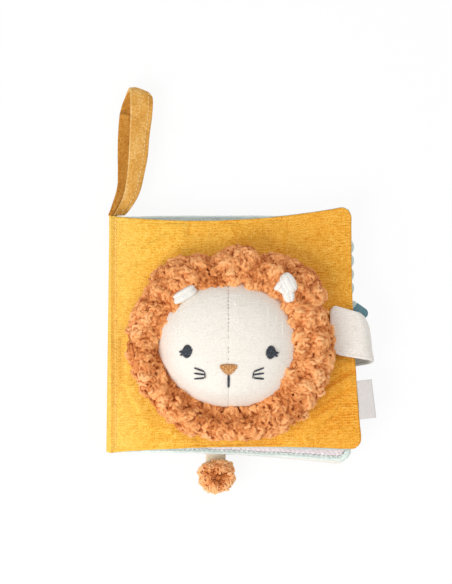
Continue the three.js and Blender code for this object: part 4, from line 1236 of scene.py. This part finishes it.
def tail_pom():
    maker = np.random.default_rng(181)

    def ball(z, turn):
        flat = np.sqrt(1 - z ** 2)
        return np.stack([flat * np.cos(turn), flat * np.sin(turn), z], axis=-1)

    def chosen(low, count):
        return ball(maker.uniform(low, 1, count), maker.uniform(0, 2 * np.pi, count))

    step = np.arange(POM_LUMPS)
    centres = POM_MIDDLE + ball(1 - (2 * step + 1) / POM_LUMPS, step * GOLDEN_ANGLE) * POM_RADIUS
    swirl = maker.uniform(-1, 1, POM_LUMPS)
    rings, turns = 40, 60
    polar, angle = np.meshgrid(np.linspace(0.02, np.pi - 0.02, rings), circle(turns), indexing="ij")
    normal = ball(np.cos(polar), angle)
    base = POM_MIDDLE + normal * POM_RADIUS
    high, _ = lumps_near(base, centres, POM_LUMP_SIZE)
    surface = base + normal * (2.2 * (high - 0.8) - 1.0)[..., None]
    surface[..., 2] = np.maximum(surface[..., 2], 0.1)
    uv = np.stack([np.tile(np.linspace(0, 12, turns), rings), np.repeat(np.linspace(0, 6, rings), turns)], axis=-1)
    # Painted shade: the core is dark in the gaps between the pom's lumps
    core = make_object("tail_pom_core", surface, capped_faces(rings, turns), SHERPA,
                       attributes={"tone": 0.05 + 0.25 * high}, uvs=uv)
    dress(core, "sherpa", "tail", "tail_pom", fill=0.8)
    normal = chosen(-0.92, 1150)
    base = POM_MIDDLE + normal * POM_RADIUS
    high, own = lumps_near(base, centres, POM_LUMP_SIZE)
    away = base - centres[own]
    ragged = 2.6 * (Noise(185).layers(base, 5, 2) - 0.45)
    spots = base + normal * (2.2 * (high - 0.8) + ragged - maker.uniform(0.0, 1.6, len(base)))[:, None]
    flow = 0.2 * (np.cross(normal, away) * swirl[own][:, None] + away) + 0.25 * normal
    hollow = smooth(normal[:, 2] - 0.12 * ragged, 0.8, 0.98)
    spots[:, 2] -= 2.2 * hollow
    # Painted shade and highlight: locks are lighter on the lumps and round the pom's sides and darker in the hollow on
    # top, with some random variation
    tone = 0.14 + 0.42 * high + 0.46 * (1 - np.abs(normal[:, 2])) - 0.4 * hollow + 0.1 * ragged
    fleece("tail_curls", spots, unit(normal + 0.1 * away), flow, tone, 191, "tail", (2.6, 5.6), (0.5, 0.95), 0.6)
    normal = chosen(-0.9, 1300)
    fibres("tail_fuzz", POM_MIDDLE + normal * (POM_RADIUS - 0.4), normal, 183, "tail", (1.2, 2.4), 0.1, 0.35)


tail_pom()


# Ears

def ear(side, lobes):
    """An ear pressed flat under the fleece: rolls of linen folded against each other.
    Each lobe is (x, y, height over the head's foot, half sizes, turn, creases along it)."""
    rings, turns = 40, 60
    polar, round_ = np.meshgrid(np.linspace(0.02, np.pi - 0.02, rings), circle(turns), indexing="ij")
    ball = np.stack([np.sin(polar) * np.cos(round_), np.sin(polar) * np.sin(round_), np.cos(polar)], axis=-1)
    points, faces = [], []
    for k, (x, y, level, size, angle, creases) in enumerate(lobes):
        local = np.sign(ball) * np.abs(ball) ** 0.78 * size
        for offset, width, depth in creases:
            dent = depth * bell(local[..., 1], offset, width) * smooth(ball[..., 2], -0.1, 0.4)
            local = local - ball * dent[..., None]
        local = local + ball * (0.8 * uneven(201 + k, local, 4, 2))[..., None]
        across, up = turned(local[..., 0], local[..., 1], angle)
        points.append(np.stack([across + x, up + y, local[..., 2] + HEAD_FOOT + level], axis=-1))
        faces += capped_faces(rings, turns, k * rings * turns)
    piece = make_object(side + "_ear_linen", np.concatenate(points), faces, EAR)
    dress(piece, "face_linen", "front_cover", side + "_ear", fill=0.6)


ear("left", (
    (-28.6, 22.8, 19.4, (8.4, 2.7, 4.5), 31, [(0.7, 0.4, 0.4)]),
    (-29.4, 25.3, 19.0, (7.8, 2.2, 4.4), 29, [])))
ear("right", (
    (36.9, 30.9, 19.2, (6.9, 5.0, 4.8), -62, [(-1.6, 0.5, 0.5), (2.0, 0.5, 0.4)]),
    (32.5, 31.0, 19.7, (6.1, 2.2, 4.4), 50, [(0.6, 0.4, 0.3)]),
    (37.2, 23.6, 18.2, (5.2, 4.0, 4.5), -78, [(0.8, 0.5, 0.4)]),
    (33.4, 26.6, 19.0, (3.8, 2.2, 4.1), -34, [])))


# Embroidery

def satin_fill(node, threads, radius, material, slot, above=()):
    """Threads side by side, each from one end to the other, and others laid above them."""
    share = np.linspace(0, 1, 7)[:, None]
    paths = np.array([on_face(np.asarray(start) + (np.asarray(end) - np.asarray(start)) * share, lift)
                      for ends, lift in ((threads, 0.34), (above, 0.5)) for start, end in ends])
    paths[..., 2] += 0.32 * np.sin(np.pi * share[:, 0]) ** 0.5
    shape = np.array([0.5, 0.92, 1, 1, 1, 0.92, 0.5])
    points, faces, uv = tubes(paths, radius * shape[None], 7, 0.85)
    dress(make_object(node + "_stitches", points, faces, material, uvs=uv), slot, "front_cover", node)


def eye(node, side, middle):
    half = np.array([3.0, 4.3])
    threads, lashes = [], []
    for x in np.arange(-half[0] + 0.3, half[0], 0.68):
        reach = half[1] * math.sqrt(1 - (x / half[0]) ** 2) + 0.15 * math.sin(x * 9)
        threads.append((middle + (x - 0.25, -reach), middle + (x + 0.25, reach)))
    for drop in (4, 28):
        out = np.array([side * math.cos(math.radians(drop)), -math.sin(math.radians(drop))])
        root, tip = middle + 1.8 * out, middle + (half[0] + 2.2) * out
        lashes += [(root, tip), (root + (0, 0.45), tip - (side * 0.4, -0.35)),
                   (root - (0, 0.45), tip - (side * 0.6, 0.35))]
    satin_fill(node, threads, 0.45, CHARCOAL, "charcoal_thread", lashes)


def nose():
    x_middle, y_middle = FACE_MIDDLE[0], -23.7
    half_width, half_height = 5.4, 3.7
    low, high = y_middle - half_height, y_middle + half_height
    threads = []
    for x in np.arange(-half_width + 0.45, half_width, 1.08):
        share = abs(x) / half_width
        top = high - 0.9 * share ** 3 - 0.5 * max(share - 0.8, 0)
        bottom = low + (high - low) * (0.66 * share ** 1.9 + 0.02)
        if top - bottom > 0.8:
            threads.append(((x_middle + x, bottom), (x_middle + x, top)))
    satin_fill("nose", threads, 0.6, NOSE, "nose_thread")


def mouth():
    top, bottom = -27.2, -35.2
    threads = [((x, bottom), (x, top)) for x in FACE_MIDDLE[0] + np.array([-0.42, 0.0, 0.42])]
    satin_fill("mouth", threads, 0.33, CHARCOAL, "charcoal_thread")


def whiskers():
    inner_ys, outer_ys = (-25.2, -27.2, -29.4), (-22.9, -26.4, -30.0)
    for side, word in ((-1, "left"), (1, "right")):
        middle = FACE_MIDDLE[0] + (0.6 if side > 0 else 0.0)
        join = (middle + side * 15.2, inner_ys[0]), (middle + side * 14.8, inner_ys[2])
        for row in range(3):
            inner = np.array([middle + side * 15.4, inner_ys[row]])
            outer = np.array([middle + side * 21.8, outer_ys[row]])
            threads = [(inner, outer), (inner + (0, 0.42), outer + (0, 0.36))]
            satin_fill(f"{word}_whisker_{row + 1}", threads, 0.38, CHARCOAL, "charcoal_thread",
                       () if row else [join])


eye("left_eye", -1, np.array([-27.2, -12.3]))
eye("right_eye", 1, np.array([25.8, -12.9]))
nose()
mouth()
whiskers()


def head_back():
    """The cloth that closes the head, under the mane's turned edge."""
    turns = 96
    half = MANE_HALF - 11.5
    foot = FRONT_TOP + CLEARANCE
    angle = circle(turns)
    wave = 1 + 0.006 * np.sin(angle * 31)
    ring = HEAD_MIDDLE + half * np.stack([np.cos(angle) * wave, np.sin(angle) * wave], axis=-1)
    points = [(*place, level) for level in (foot, foot + HEAD_BACK) for place in ring]
    here, onward = np.arange(turns), np.roll(np.arange(turns), -1)
    faces = [*np.stack([here, onward, turns + onward, turns + here], axis=-1), here[::-1], here + turns]
    piece = make_object("head_back_cloth", points, faces, FACE, smooth_faces=False)
    dress(piece, "face_linen", "front_cover", "head_back")


head_back()


# Closure strap

STRAP_WIDTH, STRAP_THICKNESS = 32.0, 1.6
STRAP_LENGTH = 55.0  # about, for shares of it
STRAP_END_X, STRAP_END_Y = 64.6, 1.4
STRAP_SKEW = math.tan(math.radians(9.6)), math.tan(math.radians(15.5))
STRAP_STACK = CLEARANCE * 3 + 2.0 + STRAP_THICKNESS / 2
STRAP_BULGE = ((0, 0.08, 0.18, 0.3, 0.5, 0.75, 0.86, 0.95, 1), (16.4, 16.5, 15.7, 15.2, 14.7, 13.6, 12.4, 10.8, 9.2))
STRAP_BEND = [(0, 0), (0.42, -0.03), (0.84, 0.14), (1, 0.46), (0.95, 0.8), (0.62, 0.985)]
PATCH_WIDTH, PATCH_LENGTH = 22.0, 12.0


def strap_line(width_share, count):
    """The strap's line from the back cover round the fore edge to its end, at a share of its width."""
    bulge = np.interp(width_share, *STRAP_BULGE)
    seam_x = fore_edge_at(BACK_SHAPE, STRAP_END_Y - STRAP_WIDTH) + CLEARANCE
    inward = fore_edge_at(FRONT_SHAPE, STRAP_END_Y) - STRAP_END_X
    landing = front_top_at(inward / 4) + STRAP_STACK
    places = [(seam_x + bulge * out, BACK_MIDDLE + (landing - BACK_MIDDLE) * up) for out, up in STRAP_BEND]
    places += [(STRAP_END_X + inward * 0.75, landing),
               (STRAP_END_X + inward * 0.4, front_top_at(inward * 0.6) + STRAP_STACK),
               (STRAP_END_X, front_top_at(inward) + STRAP_STACK)]
    return beside(places, count)


def strap_grid(rows, columns, width=STRAP_WIDTH, begin=0.0, finish=1.0):
    """Points and normals of the strap's middle surface, or of a part of it."""
    lines, normals = [], []
    share = np.linspace(begin, finish, rows)
    for column in range(columns):
        across = (column / (columns - 1) - 0.5) * width / STRAP_WIDTH + 0.5
        fine, left = strap_line(across, 400)
        run = run_of(fine)
        line = along_run(fine, run, share * run[-1])
        skew = STRAP_SKEW[0] + (STRAP_SKEW[1] - STRAP_SKEW[0]) * across
        line[:, 1] = STRAP_END_Y - run[-1] * (1 - share) * skew + STRAP_WIDTH * (across - 0.5)
        lines.append(line)
        normals.append(unit(along_run(left, run, share * run[-1])))
    return np.stack(lines, axis=1), np.stack(normals, axis=1)


def closure_strap():
    rows, columns = 150, 90
    line, normal = strap_grid(rows, columns)
    u, v = shares(rows, columns)
    edge, end = np.minimum(v, 1 - v) * STRAP_WIDTH, (1 - u) * STRAP_LENGTH
    rim = np.minimum(edge, end)
    pull = rounded_corners(np.stack([end, edge], axis=-1), 6.0)
    line[..., 0] += pull[..., 0]
    line[..., 1] += np.where(v < 0.5, 1, -1) * pull[..., 1]
    groove = (0.4 + 1.2 * (v < 0.5)) * bell(edge, 2.8, 0.5)
    roll = smooth(1.3 - rim, 0, 1.3)
    pucker = uneven(212, line * [0.5, 1.0, 1.0], 2.4) * bell(rim, 2.2, 2.0)
    lift = 0.5 * uneven(211, line, 12, 3) + 0.3 * pucker
    half = STRAP_THICKNESS / 2
    upper = line + normal * (half - 0.3 * groove - 0.45 * roll + lift * 0.8)[..., None]
    under = line - normal * (half - 0.25 * groove - 0.45 * roll - lift * 0.4)[..., None]
    piece = slab("closure_strap_linen", upper, under, LINEN)
    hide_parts("closure_strap")
    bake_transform(piece)


def strap_patch(word, layers, body):
    """The hook patch under the strap's end, or with a layer between them the loop patch on the cover."""
    end = 1 - CLEARANCE * 2 / STRAP_LENGTH
    line, normal = strap_grid(26, 44, PATCH_WIDTH, end - PATCH_LENGTH / STRAP_LENGTH, end)
    drop = (STRAP_THICKNESS + 1.0) / 2 + CLEARANCE + layers * 1.3
    rough = 0.35 * uneven(221 + layers, line, 0.9)
    upper = line + normal * (drop + 0.45 + (1 - layers) * rough)[..., None]
    under = line + normal * (drop - 0.45 + layers * rough)[..., None]
    dress(slab(word + "_patch_tape", upper, under, HOOK), "hook_tape", body, word + "_patch")


closure_strap()
strap_patch("hook", 0, "strap")
strap_patch("loop", 1, "front_cover")


# Hanging loop

LOOP_START_X, LOOP_LENGTH, LOOP_WIDTH, LOOP_THICKNESS = -73.9, 83.5, 15.0, 1.6
LOOP_DRIFT, LOOP_RISE = 16.2, 12.6  # how far it leans towards the fore edge, and its upper strand's height
# Shares of the length, the drift, the rise and the width along the loop, from its lower end to its upper one
LOOP_SHARES = np.array([
    [0, -0.14, 0.62, 0.5], [0.07, 0.02, 0.5, 0.56], [0.22, 0.31, 0.16, 0.74], [0.36, 0.39, 0.02, 0.86],
    [0.52, 0.41, 0, 0.92], [0.7, 0.46, 0, 0.96], [0.84, 0.56, 0, 0.98], [0.95, 0.78, 0.12, 1],
    [1, 0.92, 0.5, 1], [0.975, 0.98, 0.88, 1], [0.89, 1.0, 1, 0.98], [0.773, 0.98, 1, 0.95],
    [0.618, 0.91, 1, 0.87], [0.463, 0.86, 0.99, 0.83], [0.349, 0.78, 0.98, 0.76], [0.202, 0.64, 0.96, 0.69],
    [0.104, 0.44, 0.94, 0.62], [0.03, 0.2, 0.92, 0.56], [0, 0.08, 0.9, 0.5]])
LOOP_CREASES = [(-58, 140, 9, 1.1, 40, -0.7), (-55, 131, 8, 1.0, 128, -0.6), (-70, 146, 7, 1.6, 10, 1.3),
                (-71, 142, 7, 1.3, -6, -1.8), (-60, 108, 9, 1.2, 64, -0.6), (-64, 92, 7, 1.3, 50, 0.7)]


def hanging_loop():
    rows, columns = 330, 26
    base_y = HALF_HEIGHT + FRONT_SHAPE["top_spine"] + CLEARANCE * 2
    half = LOOP_THICKNESS / 2
    start = [base_y, LOOP_START_X, half + CLEARANCE / 2, 0]
    places = (start + [LOOP_LENGTH, LOOP_DRIFT, LOOP_RISE, 1] * LOOP_SHARES)[:, [1, 0, 2, 3]]
    fine = refine_line(places, 900)
    run = run_of(fine[:, :3])
    at = np.linspace(0, run[-1], rows)
    line, share = np.split(along_run(fine, run, at), [3], axis=1)
    width = LOOP_WIDTH * share[:, 0]
    top_row = int(np.argmax(line[:, 1]))
    across = np.array([1.0, 0, 0])
    normal = unit(np.cross(unit(np.gradient(line, axis=0)), across))[:, None]
    v = np.linspace(-1, 1, columns)
    grid = line[:, None] + across * (width[:, None] / 2 * v)[..., None]
    top = smooth((grid[..., 1] - base_y) / LOOP_LENGTH, 0.84, 1.0)
    grid[..., 1] -= top * (3.2 * smooth(v, -0.6, 1.0) + 2.2 * smooth(v, 0.55, 1.0) ** 2)[None]
    edge = (1 - np.abs(v))[None] * width[:, None] / 2
    rib = crinkle(grid * [1, 0.9, 1], 231)
    groove = bell(edge, 1.9, 0.5)
    roll = smooth(1.1 - edge, 0, 1.1)
    pleat = 0.6 * np.sin(v * 7)[None] * smooth(1 - np.minimum(at, run[-1] - at) / 22, 0, 1)[:, None]
    cup = 1.6 * (0.5 - v ** 2)[None] * smooth(1 - width / LOOP_WIDTH, 0, 0.3)[:, None]
    lift = 0.1 * (rib - 0.5) + 0.7 * uneven(232, grid, 8, 3) + pleat + cup + dimples(grid, LOOP_CREASES)
    upper = grid + normal * (half - 0.3 * groove - 0.45 * roll + lift)[..., None]
    under = grid - normal * (half - 0.2 * groove - 0.45 * roll - lift * 0.8)[..., None]
    upper[..., 2] = np.maximum(upper[..., 2], 0.05)
    under[..., 2] = np.maximum(under[..., 2], 0.05)
    # Painted shade darkens the back strand, the inside of the loop, and a painted highlight pales the front strand's
    # left rim
    back_strand_shade = (1 - smooth(np.arange(rows) - float(top_row), -24, 2))[:, None]
    tone = -0.09 * back_strand_shade + 0.12 * (1 - back_strand_shade) * smooth(-v, 0.78, 1.0)[None]
    piece = slab("hanging_loop_muslin", upper, under, LOOP_NAP, attributes={"tone": np.concatenate([tone, tone])})
    dress(piece, "mustard_muslin", "hanging_loop", "hanging_loop")

    front = np.arange(top_row + 6, rows - 16)
    place = (columns - 1) * (1 - 2.7 / width[front])
    low = place.astype(int)
    part = (place - low)[:, None]
    seam = upper[front, low] * (1 - part) + upper[front, low + 1] * part
    pale = thread_finish("loop_thread", "E9C074", "F6D594", "FCE6B4")
    stitch_tubes("loop_stitches", dashes_on(seam, 2.0, 2.9), 0.24, pale, "hanging_loop")


hanging_loop()


# Pieces in the panels' seams

def side_tag():
    """The bare tag: folded satin."""
    length, width, middle_y, turn = 9.8, 25.0, -45.1, 6.8
    fold = 0.5  # half the distance between its layers
    rows = columns = 60
    box_low, box_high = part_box("side_tag")
    share, across = shares(rows, columns)
    bend = np.clip((share - 0.46) / 0.08, 0, 1) * math.pi
    x = length * np.clip(np.minimum(share, 1 - share) / 0.46, 0, 1) - 0.25 + fold * np.sin(bend)
    z = (box_low.z + box_high.z) / 2 / MM + fold * np.cos(bend)
    grid = np.stack([x, (across - 0.5) * width, z], axis=-1)
    grid[..., 2] += 0.3 * uneven(241, grid * [1, 1, 0], 8, 2)
    normal = unit(np.cross(unit(np.gradient(grid, axis=0)), [0, 1.0, 0]))
    upper, under = (np.stack([*turned(side[..., 0], side[..., 1], turn), side[..., 2]], axis=-1)
                    for side in (grid + normal * 0.2, grid - normal * 0.2))
    shift = np.array([box_low.x / MM - 0.6 - upper[..., 0].min(), middle_y, 0])
    piece = slab("side_tag_satin", upper + shift, under + shift, SATIN)
    dress(piece, "tag_satin", "front_cover", "side_tag")


def ribbon_tab():
    """The ribbon tab on the slant, with its stitched edge and its root in the paler cloth."""
    low, high = (np.array(corner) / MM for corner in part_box("ribbon_tab"))
    width, reach, thickness, turn = 7.2, 13.0, 1.6, -35
    rows, columns = 60, 34
    u, v = np.meshgrid(np.linspace(0, 1, rows), np.linspace(-1, 1, columns), indexing="ij")
    x = u * reach
    past = np.clip((x - (reach - width / 2)) / (width / 2), 0, 0.999)
    y = v * width / 2 * np.sqrt(np.clip(1 - past ** 2, 0.001, 1))
    edge = np.minimum((1 - np.abs(v)) * width / 2, np.maximum(reach - x, 0))
    z = (low[2] + high[2]) / 2
    puff = thickness / 2 * (0.55 + 0.45 * np.sqrt(np.clip(edge / 1.4, 0, 1))) - 0.22 * bell(edge, 1.3, 0.35)
    place = turned(x, y, turn)
    upper = np.stack([*place, z + puff + 0.06 * np.sin(v * 16)], axis=-1)
    under = np.stack([*place, z - puff], axis=-1)
    shift = np.array([high[0] + 0.4 - place[0].max(), high[1] - 2.4 - place[1].max(), 0])
    root = np.broadcast_to((np.arange(rows - 1) < 0.2 * rows)[:, None], (rows - 1, columns - 1)).ravel()
    slots = np.concatenate([root, root, np.zeros(2 * (rows + columns) - 4)])
    piece = slab("ribbon_tab_velour", upper + shift, under + shift, [TEAL, TRIM], slots=slots)
    dress(piece, "teal_cloth", "leaf", "ribbon_tab")


def scalloped_trim():
    radius, reach, count, top_y = 4.5, 4.7, 4, 54.8
    columns, rows = 200, 14
    y = np.linspace(top_y + radius, top_y - radius * (2 * count - 1), columns)
    phase = ((top_y + radius - y) % (2 * radius)) / (2 * radius) * 2 - 1
    out = reach * (1 + 2 * np.sqrt(np.clip(1 - phase ** 2, 0, 1))) / 3
    out[[0, -1]] = reach / 3
    u = np.linspace(0, 1, rows)[:, None]
    x = fore_edge_at(LEAF_SHAPE, y) + CLEARANCE + out * u
    y = np.broadcast_to(y, x.shape)
    puff = 0.6 * (0.45 + 0.55 * np.sqrt(np.minimum((1 - u) * out, 1.2) / 1.2))
    rough = 0.25 * uneven(251, np.stack([x, y, x * 0], axis=-1), 1.2)
    upper = np.stack([x, y, LEAF_MIDDLE + puff + rough], axis=-1)[:, ::-1]
    under = np.stack([x, y, LEAF_MIDDLE - puff], axis=-1)[:, ::-1]
    dress(slab("scalloped_trim_velour", upper, under, TRIM), "mint_velour", "leaf", "scalloped_trim")


def tail_tape():
    low, high = (np.array(corner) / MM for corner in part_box("tail_tape"))
    low[1] -= 1.5
    size = high - low
    u, v = shares(30, 40)
    x, y = low[0] + size[0] * u, low[1] + size[1] * v
    z = (low[2] + high[2]) / 2 + 0.25 * uneven(261, np.stack([x, y, x * 0], axis=-1), 6)
    edge = np.minimum(u, 1 - u) * size[0]
    puff = 0.5 * (0.5 + 0.5 * np.sqrt(np.clip(edge / 0.8, 0, 1))) + 0.1 * np.sin((x + y) * 2 * np.pi / TWILL_PITCH)
    piece = slab("tail_tape_twill", *(np.stack([x, y, z + side * puff], axis=-1) for side in (1, -1)), TWILL)
    dress(piece, "tape_twill", "tail", "tail_tape")


side_tag()
ribbon_tab()
scalloped_trim()
tail_tape()


# Floor, light and camera

FLOOR_HALF, FLOOR_LEVEL = 3000, -0.05
CAMERA_AWAY, VIEW_HEIGHT = 1200.0, 378.4
VIEW_MIDDLE = -2.6, 25.3
LIGHTS = ("key", (-0.48, -0.42, 0.66), 0.5, 5.2), ("fill", (0.7, 0.6, 1.3), 0.9, 4.6)


def floor():
    """White paper that looks nearly as bright as the background, but still takes a soft shadow."""
    f = Finish("floor")
    grain = f.noise(3, 2.0)
    base = f.ramp(grain, (0.3, "F6F6F6"), (0.7, "F9F9F9"))
    paper = f.cloth(base, f.bump(grain, 0.02, 0.1), 0.9, 0, 0.5, 0.1)
    glow = f.add("ShaderNodeEmission", {"Color": WHITE, "Strength": 1.0}).outputs[0]
    seen = f.math("MULTIPLY", f.add("ShaderNodeLightPath").outputs["Is Camera Ray"], 0.9)
    surface = f.output.inputs["Surface"]
    mixed = f.add("ShaderNodeMixShader", {0: seen, 1: surface.links[0].from_socket, 2: glow}).outputs[0]
    f.tree.links.new(mixed, surface)
    corners = [(x * FLOOR_HALF, y * FLOOR_HALF, FLOOR_LEVEL) for x, y in ((-1, -1), (1, -1), (1, 1), (-1, 1))]
    make_object("floor", corners, [range(4)], paper, smooth_faces=False)


def sky():
    """Soft white light from all sides, and a whiter background for the camera."""
    scene.world = bpy.data.worlds.new("world")
    scene.world.use_nodes = True
    tree = scene.world.node_tree
    tree.nodes.clear()
    soft, white = (add_node(tree, "ShaderNodeBackground", {"Color": WHITE, "Strength": strength}).outputs[0]
                   for strength in (0.6, 1.0))
    seen = add_node(tree, "ShaderNodeLightPath").outputs["Is Camera Ray"]
    mixed = add_node(tree, "ShaderNodeMixShader", {0: seen, 1: soft, 2: white}).outputs[0]
    add_node(tree, "ShaderNodeOutputWorld", {0: mixed})


def lamps():
    for name, place, size, power in LIGHTS:
        data = bpy.data.lights.new(name, "AREA")
        data.size = size
        data.energy = power
        lamp = bpy.data.objects.new(name, data)
        lamp.location = place
        lamp.rotation_euler = (Vector((0, 0, 0.02)) - Vector(place)).to_track_quat("-Z", "Y").to_euler()
        scene.collection.objects.link(lamp)


def camera():
    """A camera straight above, as in the photograph."""
    data = bpy.data.cameras.new("camera")
    data.sensor_fit = "VERTICAL"
    data.sensor_height = 36.0
    data.lens = data.sensor_height * CAMERA_AWAY / VIEW_HEIGHT
    data.clip_start, data.clip_end = 0.05, 20
    scene.camera = bpy.data.objects.new("camera", data)
    scene.camera.location = (VIEW_MIDDLE[0] * MM, VIEW_MIDDLE[1] * MM, (CAMERA_AWAY + FRONT_TOP) * MM)
    scene.collection.objects.link(scene.camera)


floor()
sky()
lamps()
camera()
